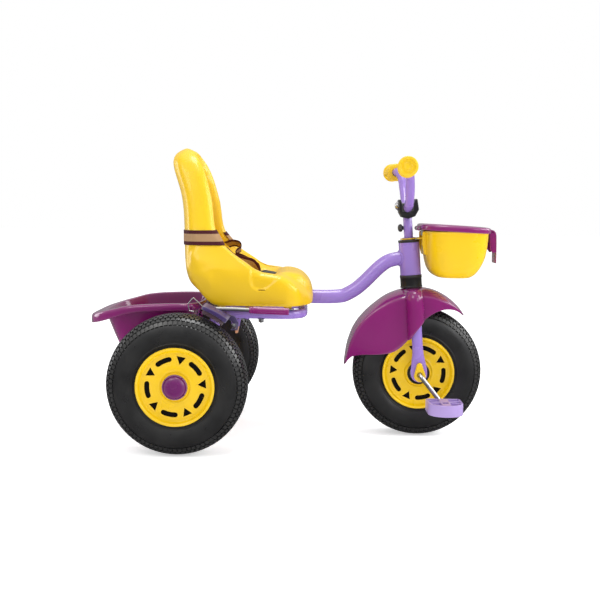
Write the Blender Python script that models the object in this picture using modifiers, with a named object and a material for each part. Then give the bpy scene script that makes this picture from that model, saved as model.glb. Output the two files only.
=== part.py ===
"""Child's tricycle: tubular frame, moulded seat, tipping rear tub, lidded front basket.

Metres, +Z up, +X is the riding direction, the ground is Z = 0. The sub-parts are
drawn in a layout frame whose X runs from the same zero for every dimension below;
SHIFT_X then moves the whole tricycle so that the origin lies under its middle.
"""

import math

import bmesh
import bpy
import numpy as np
from mathutils import Matrix, Vector

# ------------------------------------------------------------------ driving sizes
SHIFT_X = 0.0131
WHEEL_R = 0.130          # 260 x 85 tyres
TYRE_HALF = 0.0425
RIM_R = 0.072
RIM_HALF = 0.0445
REAR_X = -0.2211
REAR_Y = 0.2024
FRONT_X = 0.2400
RAKE = math.radians(4.66)       # head axis leans back by this
MAIN_R = 0.0140
UTUBE_R = 0.0090
UTUBE_Y = 0.105
UTUBE_Z = 0.2500
MAIN_Z = 0.2772
HEAD_R = 0.0210
HEAD_BORE = 0.0165
STEERER_R = 0.0130
STEERER_BORE = 0.0095
STEM_R = 0.0090
CRANK_R = 0.0045
CRANK_VEC = (0.0435, -0.0535)   # from the axle to the near pedal spindle, X and Z
PEDAL_IN, PEDAL_OUT = 0.0885, 0.1640
FORK_Y = 0.0570
GRIP_END_Y = 0.179
GRIP_X, GRIP_Z = 0.1957, 0.5341
SEAT_SLIDE = 0.045
TUB_PIVOT_X, TUB_PIVOT_Z = REAR_X, WHEEL_R
BRAKE_X, BRAKE_Z = -0.122, 0.2330
LATCH_X, LATCH_Z = -0.1700, 0.2650
LID_X, LID_Z = 0.2365, 0.4180
GAP = 0.0003

U = Vector((-math.sin(RAKE), 0.0, math.cos(RAKE)))      # up the head axis
V = Vector((math.cos(RAKE), 0.0, math.sin(RAKE)))       # forward, square to it
AXLE = Vector((FRONT_X, 0.0, WHEEL_R))
HEAD = AXLE                                             # the axis passes the axle


def on_axis(s, forward=0.0, side=0.0):
    """Point s along the head axis from the axle, with offsets."""
    return HEAD + U * s + V * forward + Vector((0.0, side, 0.0))


# ------------------------------------------------------------------ scene set-up
for old in list(bpy.data.objects):
    bpy.data.objects.remove(old, do_unlink=True)

PARTS = bpy.data.collections.new("tricycle")
HELPERS = bpy.data.collections.new("tricycle_cutters")
bpy.context.scene.collection.children.link(PARTS)
bpy.context.scene.collection.children.link(HELPERS)

MATERIALS = {}


def material(name, colour, roughness, metallic=0.0):
    if name not in MATERIALS:
        made = bpy.data.materials.new(name)
        made.use_nodes = True
        shader = made.node_tree.nodes["Principled BSDF"]
        shader.inputs["Base Color"].default_value = (*colour, 1.0)
        shader.inputs["Roughness"].default_value = roughness
        shader.inputs["Metallic"].default_value = metallic
        made.diffuse_color = (*colour, 1.0)
        MATERIALS[name] = made
    return MATERIALS[name]


LILAC = material("lilac_paint", (0.38, 0.23, 0.64), 0.25)
YELLOW = material("yellow_plastic", (0.91, 0.58, 0.01), 0.35)
PURPLE = material("purple_plastic", (0.24, 0.02, 0.15), 0.30)
BLACK = material("black_plastic", (0.02, 0.02, 0.02), 0.45)
RUBBER = material("tyre_rubber", (0.02, 0.02, 0.02), 0.75)
STEEL = material("bright_steel", (0.75, 0.75, 0.76), 0.22, 1.0)
WEBBING = material("belt_webbing", (0.20, 0.03, 0.06), 0.85)
PEDALS = material("lilac_plastic", (0.42, 0.27, 0.66), 0.35)

BODY = {}        # object name -> body
BODY_ORIGIN = {}  # body -> joint point
BODY_PARENT = {}


# ------------------------------------------------------------------ shape helpers
def link(obj, mat=None, body=None):
    PARTS.objects.link(obj)
    if mat is not None:
        obj.data.materials.clear()
        obj.data.materials.append(mat)
    if body is not None:
        BODY[obj.name] = body
    return obj


def from_bm(name, bm, mat=None, body=None):
    data = bpy.data.meshes.new(name)
    bmesh.ops.recalc_face_normals(bm, faces=bm.faces[:])
    bm.to_mesh(data)
    bm.free()
    return link(bpy.data.objects.new(name, data), mat, body)


def applied(obj):
    """The object with its modifiers and transform written into a plain mesh."""
    bpy.context.view_layer.update()
    graph = bpy.context.evaluated_depsgraph_get()
    source = obj.evaluated_get(graph)
    data = bpy.data.meshes.new_from_object(source, depsgraph=graph)
    data.transform(obj.matrix_world)
    bm = bmesh.new()
    bm.from_mesh(data)
    bmesh.ops.remove_doubles(bm, verts=bm.verts[:], dist=1e-6)
    bmesh.ops.recalc_face_normals(bm, faces=bm.faces[:])
    bm.to_mesh(data)
    bm.free()
    name, body = obj.name, BODY.get(obj.name)
    mats = [slot.material for slot in obj.material_slots]
    bpy.data.objects.remove(obj, do_unlink=True)
    out = bpy.data.objects.new(name, data)
    PARTS.objects.link(out)
    out.data.materials.clear()
    for mat in mats:
        out.data.materials.append(mat)
    if body:
        BODY[out.name] = body
    return out


def frame_to(direction):
    return Vector((0, 0, 1)).rotation_difference(Vector(direction).normalized()).to_matrix().to_4x4()


def rod(name, start, end, radius, mat=None, body=None, sides=16, radius_end=None):
    start, end = Vector(start), Vector(end)
    bm = bmesh.new()
    bmesh.ops.create_cone(bm, cap_ends=True, cap_tris=False, segments=sides, radius1=radius,
                          radius2=radius if radius_end is None else radius_end,
                          depth=(end - start).length)
    bmesh.ops.transform(bm, matrix=Matrix.Translation((start + end) / 2) @ frame_to(end - start), verts=bm.verts[:])
    return from_bm(name, bm, mat, body)


def block(name, low, high, mat=None, body=None, matrix=None, bevel=0.0):
    low, high = Vector(low), Vector(high)
    bm = bmesh.new()
    bmesh.ops.create_cube(bm, size=1.0)
    bmesh.ops.scale(bm, vec=high - low, verts=bm.verts[:])
    bmesh.ops.translate(bm, vec=(low + high) / 2, verts=bm.verts[:])
    if bevel:
        bmesh.ops.bevel(bm, geom=bm.edges[:], offset=bevel, segments=1, affect="EDGES", profile=0.5)
    if matrix is not None:
        bmesh.ops.transform(bm, matrix=matrix, verts=bm.verts[:])
    return from_bm(name, bm, mat, body)


def spline_points(points, per=6):
    """Smooth curve through the points."""
    pts = [Vector(p) for p in points]
    out = []
    for i in range(len(pts) - 1):
        p1, p2 = pts[i], pts[i + 1]
        p0 = pts[i - 1] if i else p1 + (p1 - p2)
        p3 = pts[i + 2] if i + 2 < len(pts) else p2 + (p2 - p1)
        for k in range(per):
            t = k / per
            out.append(0.5 * ((2 * p1) + (p2 - p0) * t + (2 * p0 - 5 * p1 + 4 * p2 - p3) * t * t
                              + (3 * p1 - p0 - 3 * p2 + p3) * t ** 3))
    out.append(pts[-1])
    return out


def rounded_path(points, radius, steps=5):
    """A path of straight runs with its corners turned at a bend radius."""
    pts = [Vector(p) for p in points]
    out = [pts[0]]
    for before, corner, after in zip(pts, pts[1:], pts[2:]):
        a, b = (before - corner).normalized(), (after - corner).normalized()
        angle = a.angle(b)
        reach = radius / math.tan(angle / 2)
        start, end = corner + a * reach, corner + b * reach
        for k in range(steps + 1):
            t = k / steps
            out.append(start * (1 - t) ** 2 + corner * 2 * t * (1 - t) + end * t ** 2)
    out.append(pts[-1])
    return out


def tube(name, points, radius, mat=None, body=None, resolution=3):
    data = bpy.data.curves.new(name, "CURVE")
    data.dimensions = "3D"
    data.bevel_depth = radius
    data.bevel_resolution = resolution
    data.use_fill_caps = True
    run = data.splines.new("POLY")
    run.points.add(len(points) - 1)
    for spot, p in zip(run.points, points):
        spot.co = (*p, 1.0)
    obj = bpy.data.objects.new(name, data)
    PARTS.objects.link(obj)
    if mat:
        data.materials.append(mat)
    if body:
        BODY[name] = body
    return applied(obj)


def turned(name, profile, mat=None, body=None, steps=32, origin=(0, 0, 0), axis=(0, 0, 1)):
    """A profile of (radius, height) pairs down its outer side, swept round the axis with a Screw."""
    bm = bmesh.new()
    spots = [bm.verts.new((r, 0.0, h)) for r, h in profile]
    for a, b in zip(spots, spots[1:]):
        bm.edges.new((a, b))
    if profile[0][0] > 1e-9:
        bm.edges.new((spots[-1], spots[0]))
    data = bpy.data.meshes.new(name)
    bm.to_mesh(data)
    bm.free()
    obj = bpy.data.objects.new(name, data)
    PARTS.objects.link(obj)
    if mat:
        data.materials.append(mat)
    if body:
        BODY[name] = body
    turn = obj.modifiers.new("turn", "SCREW")
    turn.axis = "Z"
    turn.angle = 2 * math.pi
    turn.steps = turn.render_steps = steps
    turn.use_merge_vertices = True
    turn.merge_threshold = 0.00001
    obj.matrix_world = Matrix.Translation(origin) @ frame_to(axis)
    return applied(obj)


def outline(name, points, thickness, mat=None, body=None, matrix=None):
    """A flat outline in its own XY plane, filled and extruded both ways."""
    data = bpy.data.curves.new(name, "CURVE")
    data.dimensions = "2D"
    data.fill_mode = "BOTH"
    data.extrude = thickness / 2
    run = data.splines.new("POLY")
    run.points.add(len(points) - 1)
    for spot, p in zip(run.points, points):
        spot.co = (p[0], p[1], 0.0, 1.0)
    run.use_cyclic_u = True
    obj = bpy.data.objects.new(name, data)
    PARTS.objects.link(obj)
    if mat:
        data.materials.append(mat)
    if body:
        BODY[name] = body
    if matrix is not None:
        obj.matrix_world = matrix
    return applied(obj)


XZ = Matrix(((1, 0, 0, 0), (0, 0, -1, 0), (0, 1, 0, 0), (0, 0, 0, 1)))   # outline x, y -> world X, Z


def at_y(y):
    return Matrix.Translation((0, y, 0)) @ XZ


def loft(name, rings, mat=None, body=None, closed=False):
    """Skin between rings of equal point counts, with end caps unless the rings close up."""
    bm = bmesh.new()
    grid = [[bm.verts.new(p) for p in ring] for ring in rings]
    n = len(rings[0])
    pairs = list(zip(grid, grid[1:])) + ([(grid[-1], grid[0])] if closed else [])
    for a, b in pairs:
        for i in range(n):
            bm.faces.new((a[i], a[(i + 1) % n], b[(i + 1) % n], b[i]))
    if not closed:
        bm.faces.new(grid[0][::-1])
        bm.faces.new(grid[-1])
    return from_bm(name, bm, mat, body)


def boolean(obj, others, operation):
    """The object cut by or joined with others, which are used up."""
    for i, other in enumerate(others):
        change = obj.modifiers.new(f"{operation.lower()}{i}", "BOOLEAN")
        change.operation = operation
        change.solver = "EXACT"
        change.object = other
    out = applied(obj)
    for other in others:
        bpy.data.objects.remove(other, do_unlink=True)
    return out


def cut(obj, *cutters):
    return boolean(obj, cutters, "DIFFERENCE")


def join(obj, *others):
    return boolean(obj, others, "UNION")


def arc(cx, cz, r, a0, a1, n):
    return [(cx + r * math.cos(math.radians(a0 + (a1 - a0) * k / n)),
             cz + r * math.sin(math.radians(a0 + (a1 - a0) * k / n))) for k in range(n + 1)]


def ease(t):
    t = min(1.0, max(0.0, t))
    return t * t * (3 - 2 * t)


def between(x, table):
    xs, ys = zip(*table)
    return float(np.interp(x, xs, ys))


# ------------------------------------------------------------------ bodies
def body(name, parent, origin):
    BODY_PARENT[name] = parent
    BODY_ORIGIN[name] = Vector(origin)


SPINDLE = (FRONT_X + CRANK_VEC[0], WHEEL_R + CRANK_VEC[1])
SPINDLE_FAR = (FRONT_X - CRANK_VEC[0], WHEEL_R - CRANK_VEC[1])
body("frame", None, (0, 0, 0))
body("seat", "frame", (-0.08, 0, UTUBE_Z + UTUBE_R))
body("tub", "frame", (TUB_PIVOT_X, 0, TUB_PIVOT_Z))
body("tub_latch", "frame", (LATCH_X, -0.146, LATCH_Z))
body("brake", "frame", (BRAKE_X, 0, BRAKE_Z))
body("rear_wheel_near", "frame", (REAR_X, -REAR_Y, WHEEL_R))
body("rear_wheel_far", "frame", (REAR_X, REAR_Y, WHEEL_R))
body("steering", "frame", on_axis(0.2300))
body("handlebar", "steering", on_axis(0.3000))
body("lid", "steering", (LID_X, 0, LID_Z))
body("front_wheel", "steering", AXLE)
body("pedal_near_body", "front_wheel", (SPINDLE[0], -0.12, SPINDLE[1]))
body("pedal_far_body", "front_wheel", (SPINDLE_FAR[0], 0.12, SPINDLE_FAR[1]))

# ------------------------------------------------------------------ frame
# Head tube and its two bushes, all turned on the leaning head axis.
HEAD_LO, HEAD_HI = 0.1945, 0.2604
turned("head_tube", [(HEAD_R, HEAD_HI), (HEAD_R, HEAD_LO), (HEAD_BORE, HEAD_LO), (HEAD_BORE, HEAD_HI)],
       LILAC, "frame", 24, HEAD, U)
turned("head_bush_upper", [(HEAD_R + 0.0006, 0.2652), (HEAD_R + 0.0006, HEAD_HI + GAP), (0.0160, HEAD_HI + GAP),
                           (0.0160, 0.2480), (STEERER_R + 0.0005, 0.2480), (STEERER_R + 0.0005, 0.2652)],
       BLACK, "frame", 24, HEAD, U)
turned("head_bush_lower", [(0.0160, 0.2080), (0.0160, HEAD_LO - GAP), (HEAD_R + 0.0012, HEAD_LO - GAP),
                           (HEAD_R + 0.0012, 0.1690), (STEERER_R + 0.0005, 0.1690), (STEERER_R + 0.0005, 0.2080)],
       BLACK, "frame", 24, HEAD, U)

# Main tube: level under the seat, then an S bend up into the head tube.
S_CURVE = [(-0.118, MAIN_Z), (-0.03, MAIN_Z), (0.045, MAIN_Z - 0.0007), (0.083, 0.2785), (0.099, 0.2845),
           (0.115, 0.2945), (0.131, 0.3085), (0.147, 0.3250), (0.163, 0.3405), (0.181, 0.3520), (0.2120, 0.3590)]
main = tube("main_tube", spline_points([(x, 0, z) for x, z in S_CURVE], 2), MAIN_R, LILAC, "frame", 3)
main = cut(main, rod("cut_head", on_axis(0.18), on_axis(0.28), HEAD_R + GAP, sides=24))

# Rear U tube: round the front, two rails under the seat, and down to the axle.
LEG_LOW = (-0.2110, 0.1480)
half = rounded_path([(LEG_LOW[0], -UTUBE_Y, LEG_LOW[1]), (-0.1560, -UTUBE_Y, UTUBE_Z),
                     (0.0075, -UTUBE_Y, UTUBE_Z), (0.0075, 0, UTUBE_Z)], 0.042, 5)
path = half + [Vector((p.x, -p.y, p.z)) for p in half[-2::-1]]
path = [p for i, p in enumerate(path) if i == 0 or (p - path[i - 1]).length > 0.004]
utube = tube("rear_u_tube", path, UTUBE_R, LILAC, "frame", 2)
ears = []
for side in (-1, 1):
    # flattened axle ears at the foot of each leg
    ears.append(outline(f"ear{side}", arc(REAR_X, WHEEL_R, 0.0165, 150, 390, 8)
                        + [(LEG_LOW[0] + 0.017, LEG_LOW[1] + 0.012), (LEG_LOW[0] + 0.004, LEG_LOW[1] + 0.020)],
                        0.0060, matrix=at_y(side * UTUBE_Y)))
CROSS_X = -0.100
# cross tube between the rails, under the main tube's rear end
cross = rod("cross", (CROSS_X, -UTUBE_Y, UTUBE_Z - 0.0012), (CROSS_X, UTUBE_Y, UTUBE_Z - 0.0012), 0.0078, sides=12)
utube = join(utube, *ears, cross)
AXLE_BORE = 0.0063
utube = cut(utube, rod("cut_axle", (REAR_X, -0.13, WHEEL_R), (REAR_X, 0.13, WHEEL_R), AXLE_BORE, sides=16),
            rod("cut_bolt_n", (-0.073, -UTUBE_Y, 0.23), (-0.073, -UTUBE_Y, 0.27), 0.0033, sides=10),
            rod("cut_bolt_f", (-0.073, UTUBE_Y, 0.23), (-0.073, UTUBE_Y, 0.27), 0.0033, sides=10))

# Brake hangers: two plates hung from the U tube, drilled for the brake shaft.
HANG_Y = 0.105
for side, tag in ((-1, "near"), (1, "far")):
    plate = outline(f"brake_hanger_{tag}",
                    [(BRAKE_X + 0.010, 0.2400), (BRAKE_X + 0.008, BRAKE_Z - 0.004)]
                    + arc(BRAKE_X, BRAKE_Z, 0.0095, -40, -140, 5)
                    + [(BRAKE_X - 0.008, BRAKE_Z - 0.004), (BRAKE_X - 0.010, 0.2400)],
                    0.0040, LILAC, "frame", at_y(side * HANG_Y))
    cut(plate, rod("cut_shaft", (BRAKE_X, side * HANG_Y - 0.01, BRAKE_Z), (BRAKE_X, side * HANG_Y + 0.01, BRAKE_Z), 0.0055, sides=16),
        rod("cut_rail", (-0.2, side * UTUBE_Y, UTUBE_Z), (0.0, side * UTUBE_Y, UTUBE_Z), UTUBE_R + GAP, sides=16))

# Latch bracket: a short arm out from the near leg, which carries the wire's pivot.
bracket = outline("latch_bracket", [(-0.1800, 0.2575), (-0.1600, 0.2555), (-0.1600, 0.2605), (-0.1650, 0.2700),
                                    (-0.1745, 0.2700), (-0.1800, 0.2640)], 0.0030, STEEL, "frame", at_y(-0.1420))
arm = block("latch_arm", (-0.1780, -0.1425, 0.2560), (-0.1620, -0.1030, 0.2590))
bracket = join(bracket, arm)
cut(bracket, rod("cut_leg", *[Vector(p) for p in ((-0.2110, -UTUBE_Y, 0.1480), (-0.1560, -UTUBE_Y, 0.2500))], UTUBE_R + 0.0006, sides=16),
    rod("cut_rail3", (-0.2, -UTUBE_Y, UTUBE_Z), (0.0, -UTUBE_Y, UTUBE_Z), UTUBE_R + 0.0006, sides=16),
    block("cut_bend", (-0.185, -0.1160, 0.2), (-0.155, -0.09, 0.2598)),
    rod("cut_pin", (LATCH_X, -0.150, LATCH_Z), (LATCH_X, -0.13, LATCH_Z), 0.0018, sides=10))

# Rear axle.
rod("rear_axle", (REAR_X, -0.2474, WHEEL_R), (REAR_X, 0.2474, WHEEL_R), 0.0060, STEEL, "frame", 16)

# Seat bolts up through the rails, nuts below.
for side, tag in ((-1, "near"), (1, "far")):
    y = side * UTUBE_Y
    stem = rod(f"seat_bolt_{tag}", (-0.073, y, 0.2335), (-0.073, y, 0.2665), 0.0029, STEEL, "frame", 10)
    join(stem, rod("nut", (-0.073, y, 0.2345), (-0.073, y, 0.2405), 0.0058, sides=6),
         rod("head", (-0.073, y, 0.2655), (-0.073, y, 0.2690), 0.0065, sides=10))

# ------------------------------------------------------------------ wheels
TYRE_OUTSIDE = [(0.1300, 0.0), (0.1285, 0.0205), (0.1225, 0.0335), (0.0990, 0.0425), (0.0760, 0.0415), (0.0672, 0.0365)]
TYRE_INSIDE = [(0.0672, 0.0300), (0.0980, 0.0365), (0.1180, 0.0280), (0.1235, 0.0)]
HALF_LOOP = TYRE_OUTSIDE + TYRE_INSIDE
# the casing is open at the beads, where the rim closes it
TYRE_PROFILE = HALF_LOOP + [(r, -h) for r, h in HALF_LOOP[-2:0:-1]]


def wheel(tag, centre, outer, hub_bore, body_name):
    """Tyre and slotted rim. outer is -1 or 1: the side that the rim's slotted face is on."""
    centre = Vector(centre)
    turned(f"{tag}_tyre", TYRE_PROFILE, RUBBER, body_name, 28, centre, (0, outer, 0))
    w0, w1 = 0.0345, 0.0385      # the two faces of the web
    rim = [(RIM_R, 0.0445), (0.0668, 0.0408), (0.0668, -0.0408), (RIM_R, -0.0445),
           (0.0640, -0.0445), (0.0625, w0), (0.0200, w0), (0.0200, -0.0400), (hub_bore, -0.0400),
           (hub_bore, 0.0420), (0.0240, 0.0420), (0.0260, w1), (0.0640, w1), (0.0650, 0.0445)]
    rim = turned(f"{tag}_rim", rim, YELLOW, body_name, 28, centre, (0, outer, 0))
    return rim


for side, tag in ((-1, "near"), (1, "far")):
    name = f"rear_wheel_{tag}"
    wheel(name, (REAR_X, side * REAR_Y, WHEEL_R), side, 0.0066, name)
    y = side * REAR_Y
    # push-on retainer and the domed cap over it
    turned(f"{name}_retainer", [(0.0125, 0.0010), (0.0125, -0.0010), (0.0064, -0.0010), (0.0064, 0.0010)], STEEL, name, 16,
           (REAR_X, y + side * 0.0434, WHEEL_R), (0, side, 0))
for side, tag in ((-1, "near"), (1, "far")):
    name = f"rear_wheel_{tag}"
    y = side * REAR_Y
    turned(f"{name}_cap", [(0.0, 0.0535), (0.0100, 0.0525), (0.0180, 0.0495), (0.0232, 0.0440), (0.0232, 0.0424),
                           (0.0195, 0.0424), (0.0150, 0.0465), (0.0, 0.0480)], PURPLE, name, 24,
           (REAR_X, y, WHEEL_R), (0, side, 0))

wheel("front_wheel", AXLE, -1, 0.0049, "front_wheel")

# One-piece bent axle: through the hub, out to a crank on each side, and on to the pedal spindles.
ARM_Y = 0.0790
crank = rounded_path([(SPINDLE[0], -0.1580, SPINDLE[1]), (SPINDLE[0], -ARM_Y, SPINDLE[1]),
                      (FRONT_X, -ARM_Y, WHEEL_R), (FRONT_X, ARM_Y, WHEEL_R),
                      (SPINDLE_FAR[0], ARM_Y, SPINDLE_FAR[1]), (SPINDLE_FAR[0], 0.1580, SPINDLE_FAR[1])], 0.0085, 4)
tube("crank_axle", crank, CRANK_R, STEEL, "front_wheel", 2)

# Black hub collars between rim and fork, which turn with the wheel.
for side, tag in ((-1, "near"), (1, "far")):
    base = 0.0423 if side < 0 else 0.0403
    turned(f"hub_collar_{tag}", [(0.0160, 0.0505), (0.0220, 0.0470), (0.0220, base), (0.0052, base), (0.0052, 0.0505)], BLACK,
           "front_wheel", 20, (FRONT_X, 0, WHEEL_R), (0, side, 0))

# Pedals: a block with a bowed outer face, two wells in its top, turning on the spindle.
for side, tag, spot in ((-1, "near", SPINDLE), (1, "far", SPINDLE_FAR)):
    cx, cz = spot
    plan = [(-0.030, PEDAL_IN), (0.030, PEDAL_IN), (0.035, PEDAL_IN + 0.006), (0.035, PEDAL_OUT - 0.016),
            (0.026, PEDAL_OUT - 0.004), (0.0, PEDAL_OUT), (-0.026, PEDAL_OUT - 0.004), (-0.035, PEDAL_OUT - 0.016),
            (-0.035, PEDAL_IN + 0.006)]
    matrix = Matrix.Translation((cx, 0, cz)) @ Matrix.Diagonal((1, side, 1, 1))
    pedal = outline(f"pedal_{tag}", plan, 0.023, PEDALS, f"pedal_{tag}_body", matrix)
    wells = []
    for x0, x1 in ((-0.0290, -0.0110), (0.0110, 0.0290)):
        a, b = side * (PEDAL_IN + 0.006), side * (PEDAL_OUT - 0.018)
        wells.append(block("well", (cx + x0, min(a, b), cz - 0.02), (cx + x1, max(a, b), cz + 0.02)))
    a, b = side * (PEDAL_IN - 0.01), side * 0.1595
    cut(pedal, *wells, rod("bore", (cx, a, cz), (cx, b, cz), CRANK_R + 0.0004, sides=16))

# ------------------------------------------------------------------ fork, fender, axle covers
LEG_TOP = 0.1560
fork = rod("fork", on_axis(0.1500), on_axis(0.2700), STEERER_R, LILAC, "steering", 20)
crown = tube("crown", rounded_path([on_axis(0.036, 0, -FORK_Y), on_axis(LEG_TOP, 0, -FORK_Y),
                                    on_axis(LEG_TOP, 0, FORK_Y), on_axis(0.036, 0, FORK_Y)], 0.022, 5), 0.0092, resolution=2)
ends = []
for side in (-1, 1):
    ends.append(outline("end", arc(FRONT_X, WHEEL_R, 0.0165, -200, 20, 8)
                        + [(FRONT_X + 0.0120, WHEEL_R + 0.032), (FRONT_X + 0.0065, WHEEL_R + 0.050),
                           (FRONT_X - 0.0115, WHEEL_R + 0.050), (FRONT_X - 0.0150, WHEEL_R + 0.032)],
                        0.0080, matrix=at_y(side * FORK_Y)))
fork = join(fork, crown, *ends)
fork = cut(fork, rod("cut_axle2", (FRONT_X, -0.08, WHEEL_R), (FRONT_X, 0.08, WHEEL_R), 0.0053, sides=16),
           rod("cut_stem", on_axis(0.140), on_axis(0.28), STEERER_BORE, sides=20),
           rod("cut_low", on_axis(-0.02, 0, -FORK_Y), on_axis(-0.0165, 0, -FORK_Y), 0.03, sides=12))


# Front fender: a lofted shell that follows the wheel, from the front tip over the top to the rear tip.
SPINE = [(50.6, 0.1480), (57, 0.1530), (64, 0.1585), (72.4, 0.1640), (81, 0.1681), (89, 0.1693), (103, 0.1684),
         (113, 0.1664), (123, 0.1616), (134, 0.1590), (147, 0.1567), (156, 0.1519), (166, 0.1495), (176.4, 0.1485)]
SKIRT = [(50.6, 0.1460), (57, 0.1455), (62, 0.1448), (69, 0.1380), (76, 0.1260), (85, 0.1087), (98, 0.0837), (109, 0.0705),
         (120, 0.0655), (132, 0.0644), (141, 0.0670), (150, 0.0759), (158, 0.0953), (163, 0.1212), (167, 0.1372), (176.4, 0.1440)]
FENDER_HALF = [(50.6, 0.012), (54, 0.024), (60, 0.038), (68, 0.048), (76, 0.0505), (150, 0.0505), (160, 0.046), (168, 0.034),
               (176.4, 0.012)]


def fender_ring(angle, inset):
    """Half-section points from the centre line down the near side, then back inside it."""
    top, low, wide = between(angle, SPINE), between(angle, SKIRT), between(angle, FENDER_HALF)
    fold = min(0.1555, top - 0.003)
    low = min(low, fold - 0.004)
    if inset:
        wide -= 0.0028
        top -= 0.0028
        fold -= 0.0020
    spots = [(0.0, top), (wide * 0.55, top - (top - fold) * 0.30), (wide * 0.94, fold), (wide, (fold * 2 + low) / 3), (wide, low)]
    return spots


def fender_mesh():
    bm = bmesh.new()
    angles = [50.6, 55, 60, 66, 72, 78, 85, 92, 100, 108, 116, 124, 132, 140, 148, 156, 162, 168, 176.4]
    rows = []
    for angle in angles:
        outer, inner = fender_ring(angle, False), fender_ring(angle, True)
        loop = [(y, r) for y, r in outer] + [(y, r) for y, r in inner[::-1]]
        loop += [(-y, r) for y, r in inner[1:]] + [(-y, r) for y, r in outer[::-1][:-1]]
        c, s = math.cos(math.radians(angle)), math.sin(math.radians(angle))
        rows.append([bm.verts.new((FRONT_X + r * c, -y, WHEEL_R + r * s)) for y, r in loop])
    n = len(rows[0])
    for a, b in zip(rows, rows[1:]):
        for i in range(n):
            bm.faces.new((a[i], a[(i + 1) % n], b[(i + 1) % n], b[i]))
    k = 5
    for row in (rows[0], rows[-1]):
        # each end is closed by a strip between the outer and the inner line
        left_out, left_in = row[:k], row[k:2 * k][::-1]
        right_in = [row[2 * k - 1]] + row[2 * k:2 * k + k - 1]
        right_out = [row[0]] + row[2 * k + k - 1:][::-1]
        for a, b in ((left_out, left_in), (right_out, right_in)):
            for i in range(k - 1):
                bm.faces.new((a[i], a[i + 1], b[i + 1], b[i]))
    return from_bm("front_fender", bm, PURPLE, "steering")


fender = fender_mesh()
# half-round channels that clothe the fork legs
channels, hollows = [], []
for side in (-1, 1):
    channels.append(turned("ch", [(0.0, 0.1700), (0.0080, 0.1685), (0.0130, 0.1645), (0.0150, 0.1590), (0.0150, 0.0930), (0.0, 0.0930)],
                           steps=16, origin=on_axis(0, 0, side * FORK_Y), axis=U))
    hollows.append(rod("ho", on_axis(0.060, 0, side * FORK_Y), on_axis(0.1560, 0, side * FORK_Y), 0.0113, sides=16))
fender = join(fender, *channels)
trough = tube("trough", rounded_path([on_axis(0.05, 0, -FORK_Y), on_axis(LEG_TOP, 0, -FORK_Y), on_axis(LEG_TOP, 0, FORK_Y),
                                      on_axis(0.05, 0, FORK_Y)], 0.022, 5), 0.0104, resolution=2)
fender = cut(fender, *hollows, trough,
             rod("cut_steerer", on_axis(0.14), on_axis(0.19), STEERER_R + 0.0006, sides=20),
             turned("clear_tyre", [(0.1350, 0.0), (0.1340, -0.0300), (0.1230, -0.0415), (0.1000, -0.0465), (0.020, -0.0465),
                                   (0.020, 0.0465), (0.1000, 0.0465), (0.1230, 0.0415), (0.1340, 0.0300)][::-1],
                    steps=32, origin=AXLE, axis=(0, 1, 0)))

# Yellow teardrop covers over the axle ends, with the crank coming out of them.
for side, tag in ((-1, "near"), (1, "far")):
    drop = arc(FRONT_X + 0.0008, WHEEL_R - 0.0030, 0.0115, -190, 10, 8) + arc(FRONT_X - 0.0004, WHEEL_R + 0.0180, 0.0055, 20, 160, 4)
    cover = outline(f"axle_cover_{tag}", drop, 0.0080, YELLOW, "steering", at_y(side * (FORK_Y + 0.0040 + 0.0043)))
    cut(cover, rod("cut_crank", (FRONT_X, side * 0.055, WHEEL_R), (FRONT_X, side * 0.08, WHEEL_R), 0.0056, sides=16))

# ------------------------------------------------------------------ handlebar
CLAMP_S = 0.3270       # middle of the clamp along the head axis
turned("stem", [(STEM_R, 0.3120), (STEM_R, 0.1750), (0.0065, 0.1750), (0.0065, 0.3120)], LILAC, "handlebar", 20, HEAD, U)
BAR_R = 0.0088
BAR = [on_axis(0.3290, 0.0, 0.0), on_axis(0.3300, 0.0, 0.018), on_axis(0.3380, 0.001, 0.040), on_axis(0.3640, 0.002, 0.064),
       on_axis(0.3900, 0.001, 0.080), Vector((0.2035, 0.098, 0.5318)), Vector((0.1990, 0.125, 0.5340)),
       Vector((GRIP_X, GRIP_END_Y - 0.006, GRIP_Z))]
right = spline_points(BAR, 2)
path = [Vector((p.x, -p.y, p.z)) for p in right[:0:-1]] + right
tube("handlebar_tube", path, BAR_R, LILAC, "handlebar", 2)

# Clamp block: socket for the stem below, saddle for the bar above, two ears.
lean = Matrix.Translation(on_axis(CLAMP_S)) @ Matrix.Rotation(-RAKE, 4, "Y")
clamp_shape = [(-0.0165, 0.0200), (-0.0100, 0.0040), (0.0115, 0.0040), (0.0175, 0.0190), (0.0222, 0.0165), (0.0222, -0.0020), (0.0140, -0.0150),
               (0.0, -0.0190), (-0.0125, -0.0150), (-0.0172, -0.0050)]
clamp = outline("bar_clamp", clamp_shape, 0.036, BLACK, "handlebar", lean @ XZ)
BAR_CUT = tube("cut_bar", path, BAR_R + 0.0004, resolution=2)
clamp = join(clamp, block("clamp_core", (-0.0131, -0.0186, -0.0062), (0.0131, 0.0186, 0.0123), matrix=lean))
cut(clamp, BAR_CUT, rod("cut_stem2", on_axis(0.29), on_axis(0.3125), STEM_R + 0.0004, sides=20),
    rod("cut_bolt2", on_axis(CLAMP_S + 0.006, -0.0280), on_axis(CLAMP_S + 0.006, -0.0110), 0.0031, sides=10))
# clamp bolt through the ears behind the bar
bolt = rod("clamp_bolt", on_axis(CLAMP_S + 0.006, -0.0232), on_axis(CLAMP_S + 0.006, -0.0176), 0.0060, STEEL, "handlebar", 12)
join(bolt, rod("shank", on_axis(CLAMP_S + 0.006, -0.0180), on_axis(CLAMP_S + 0.006, -0.0128), 0.0027, sides=10))
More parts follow.
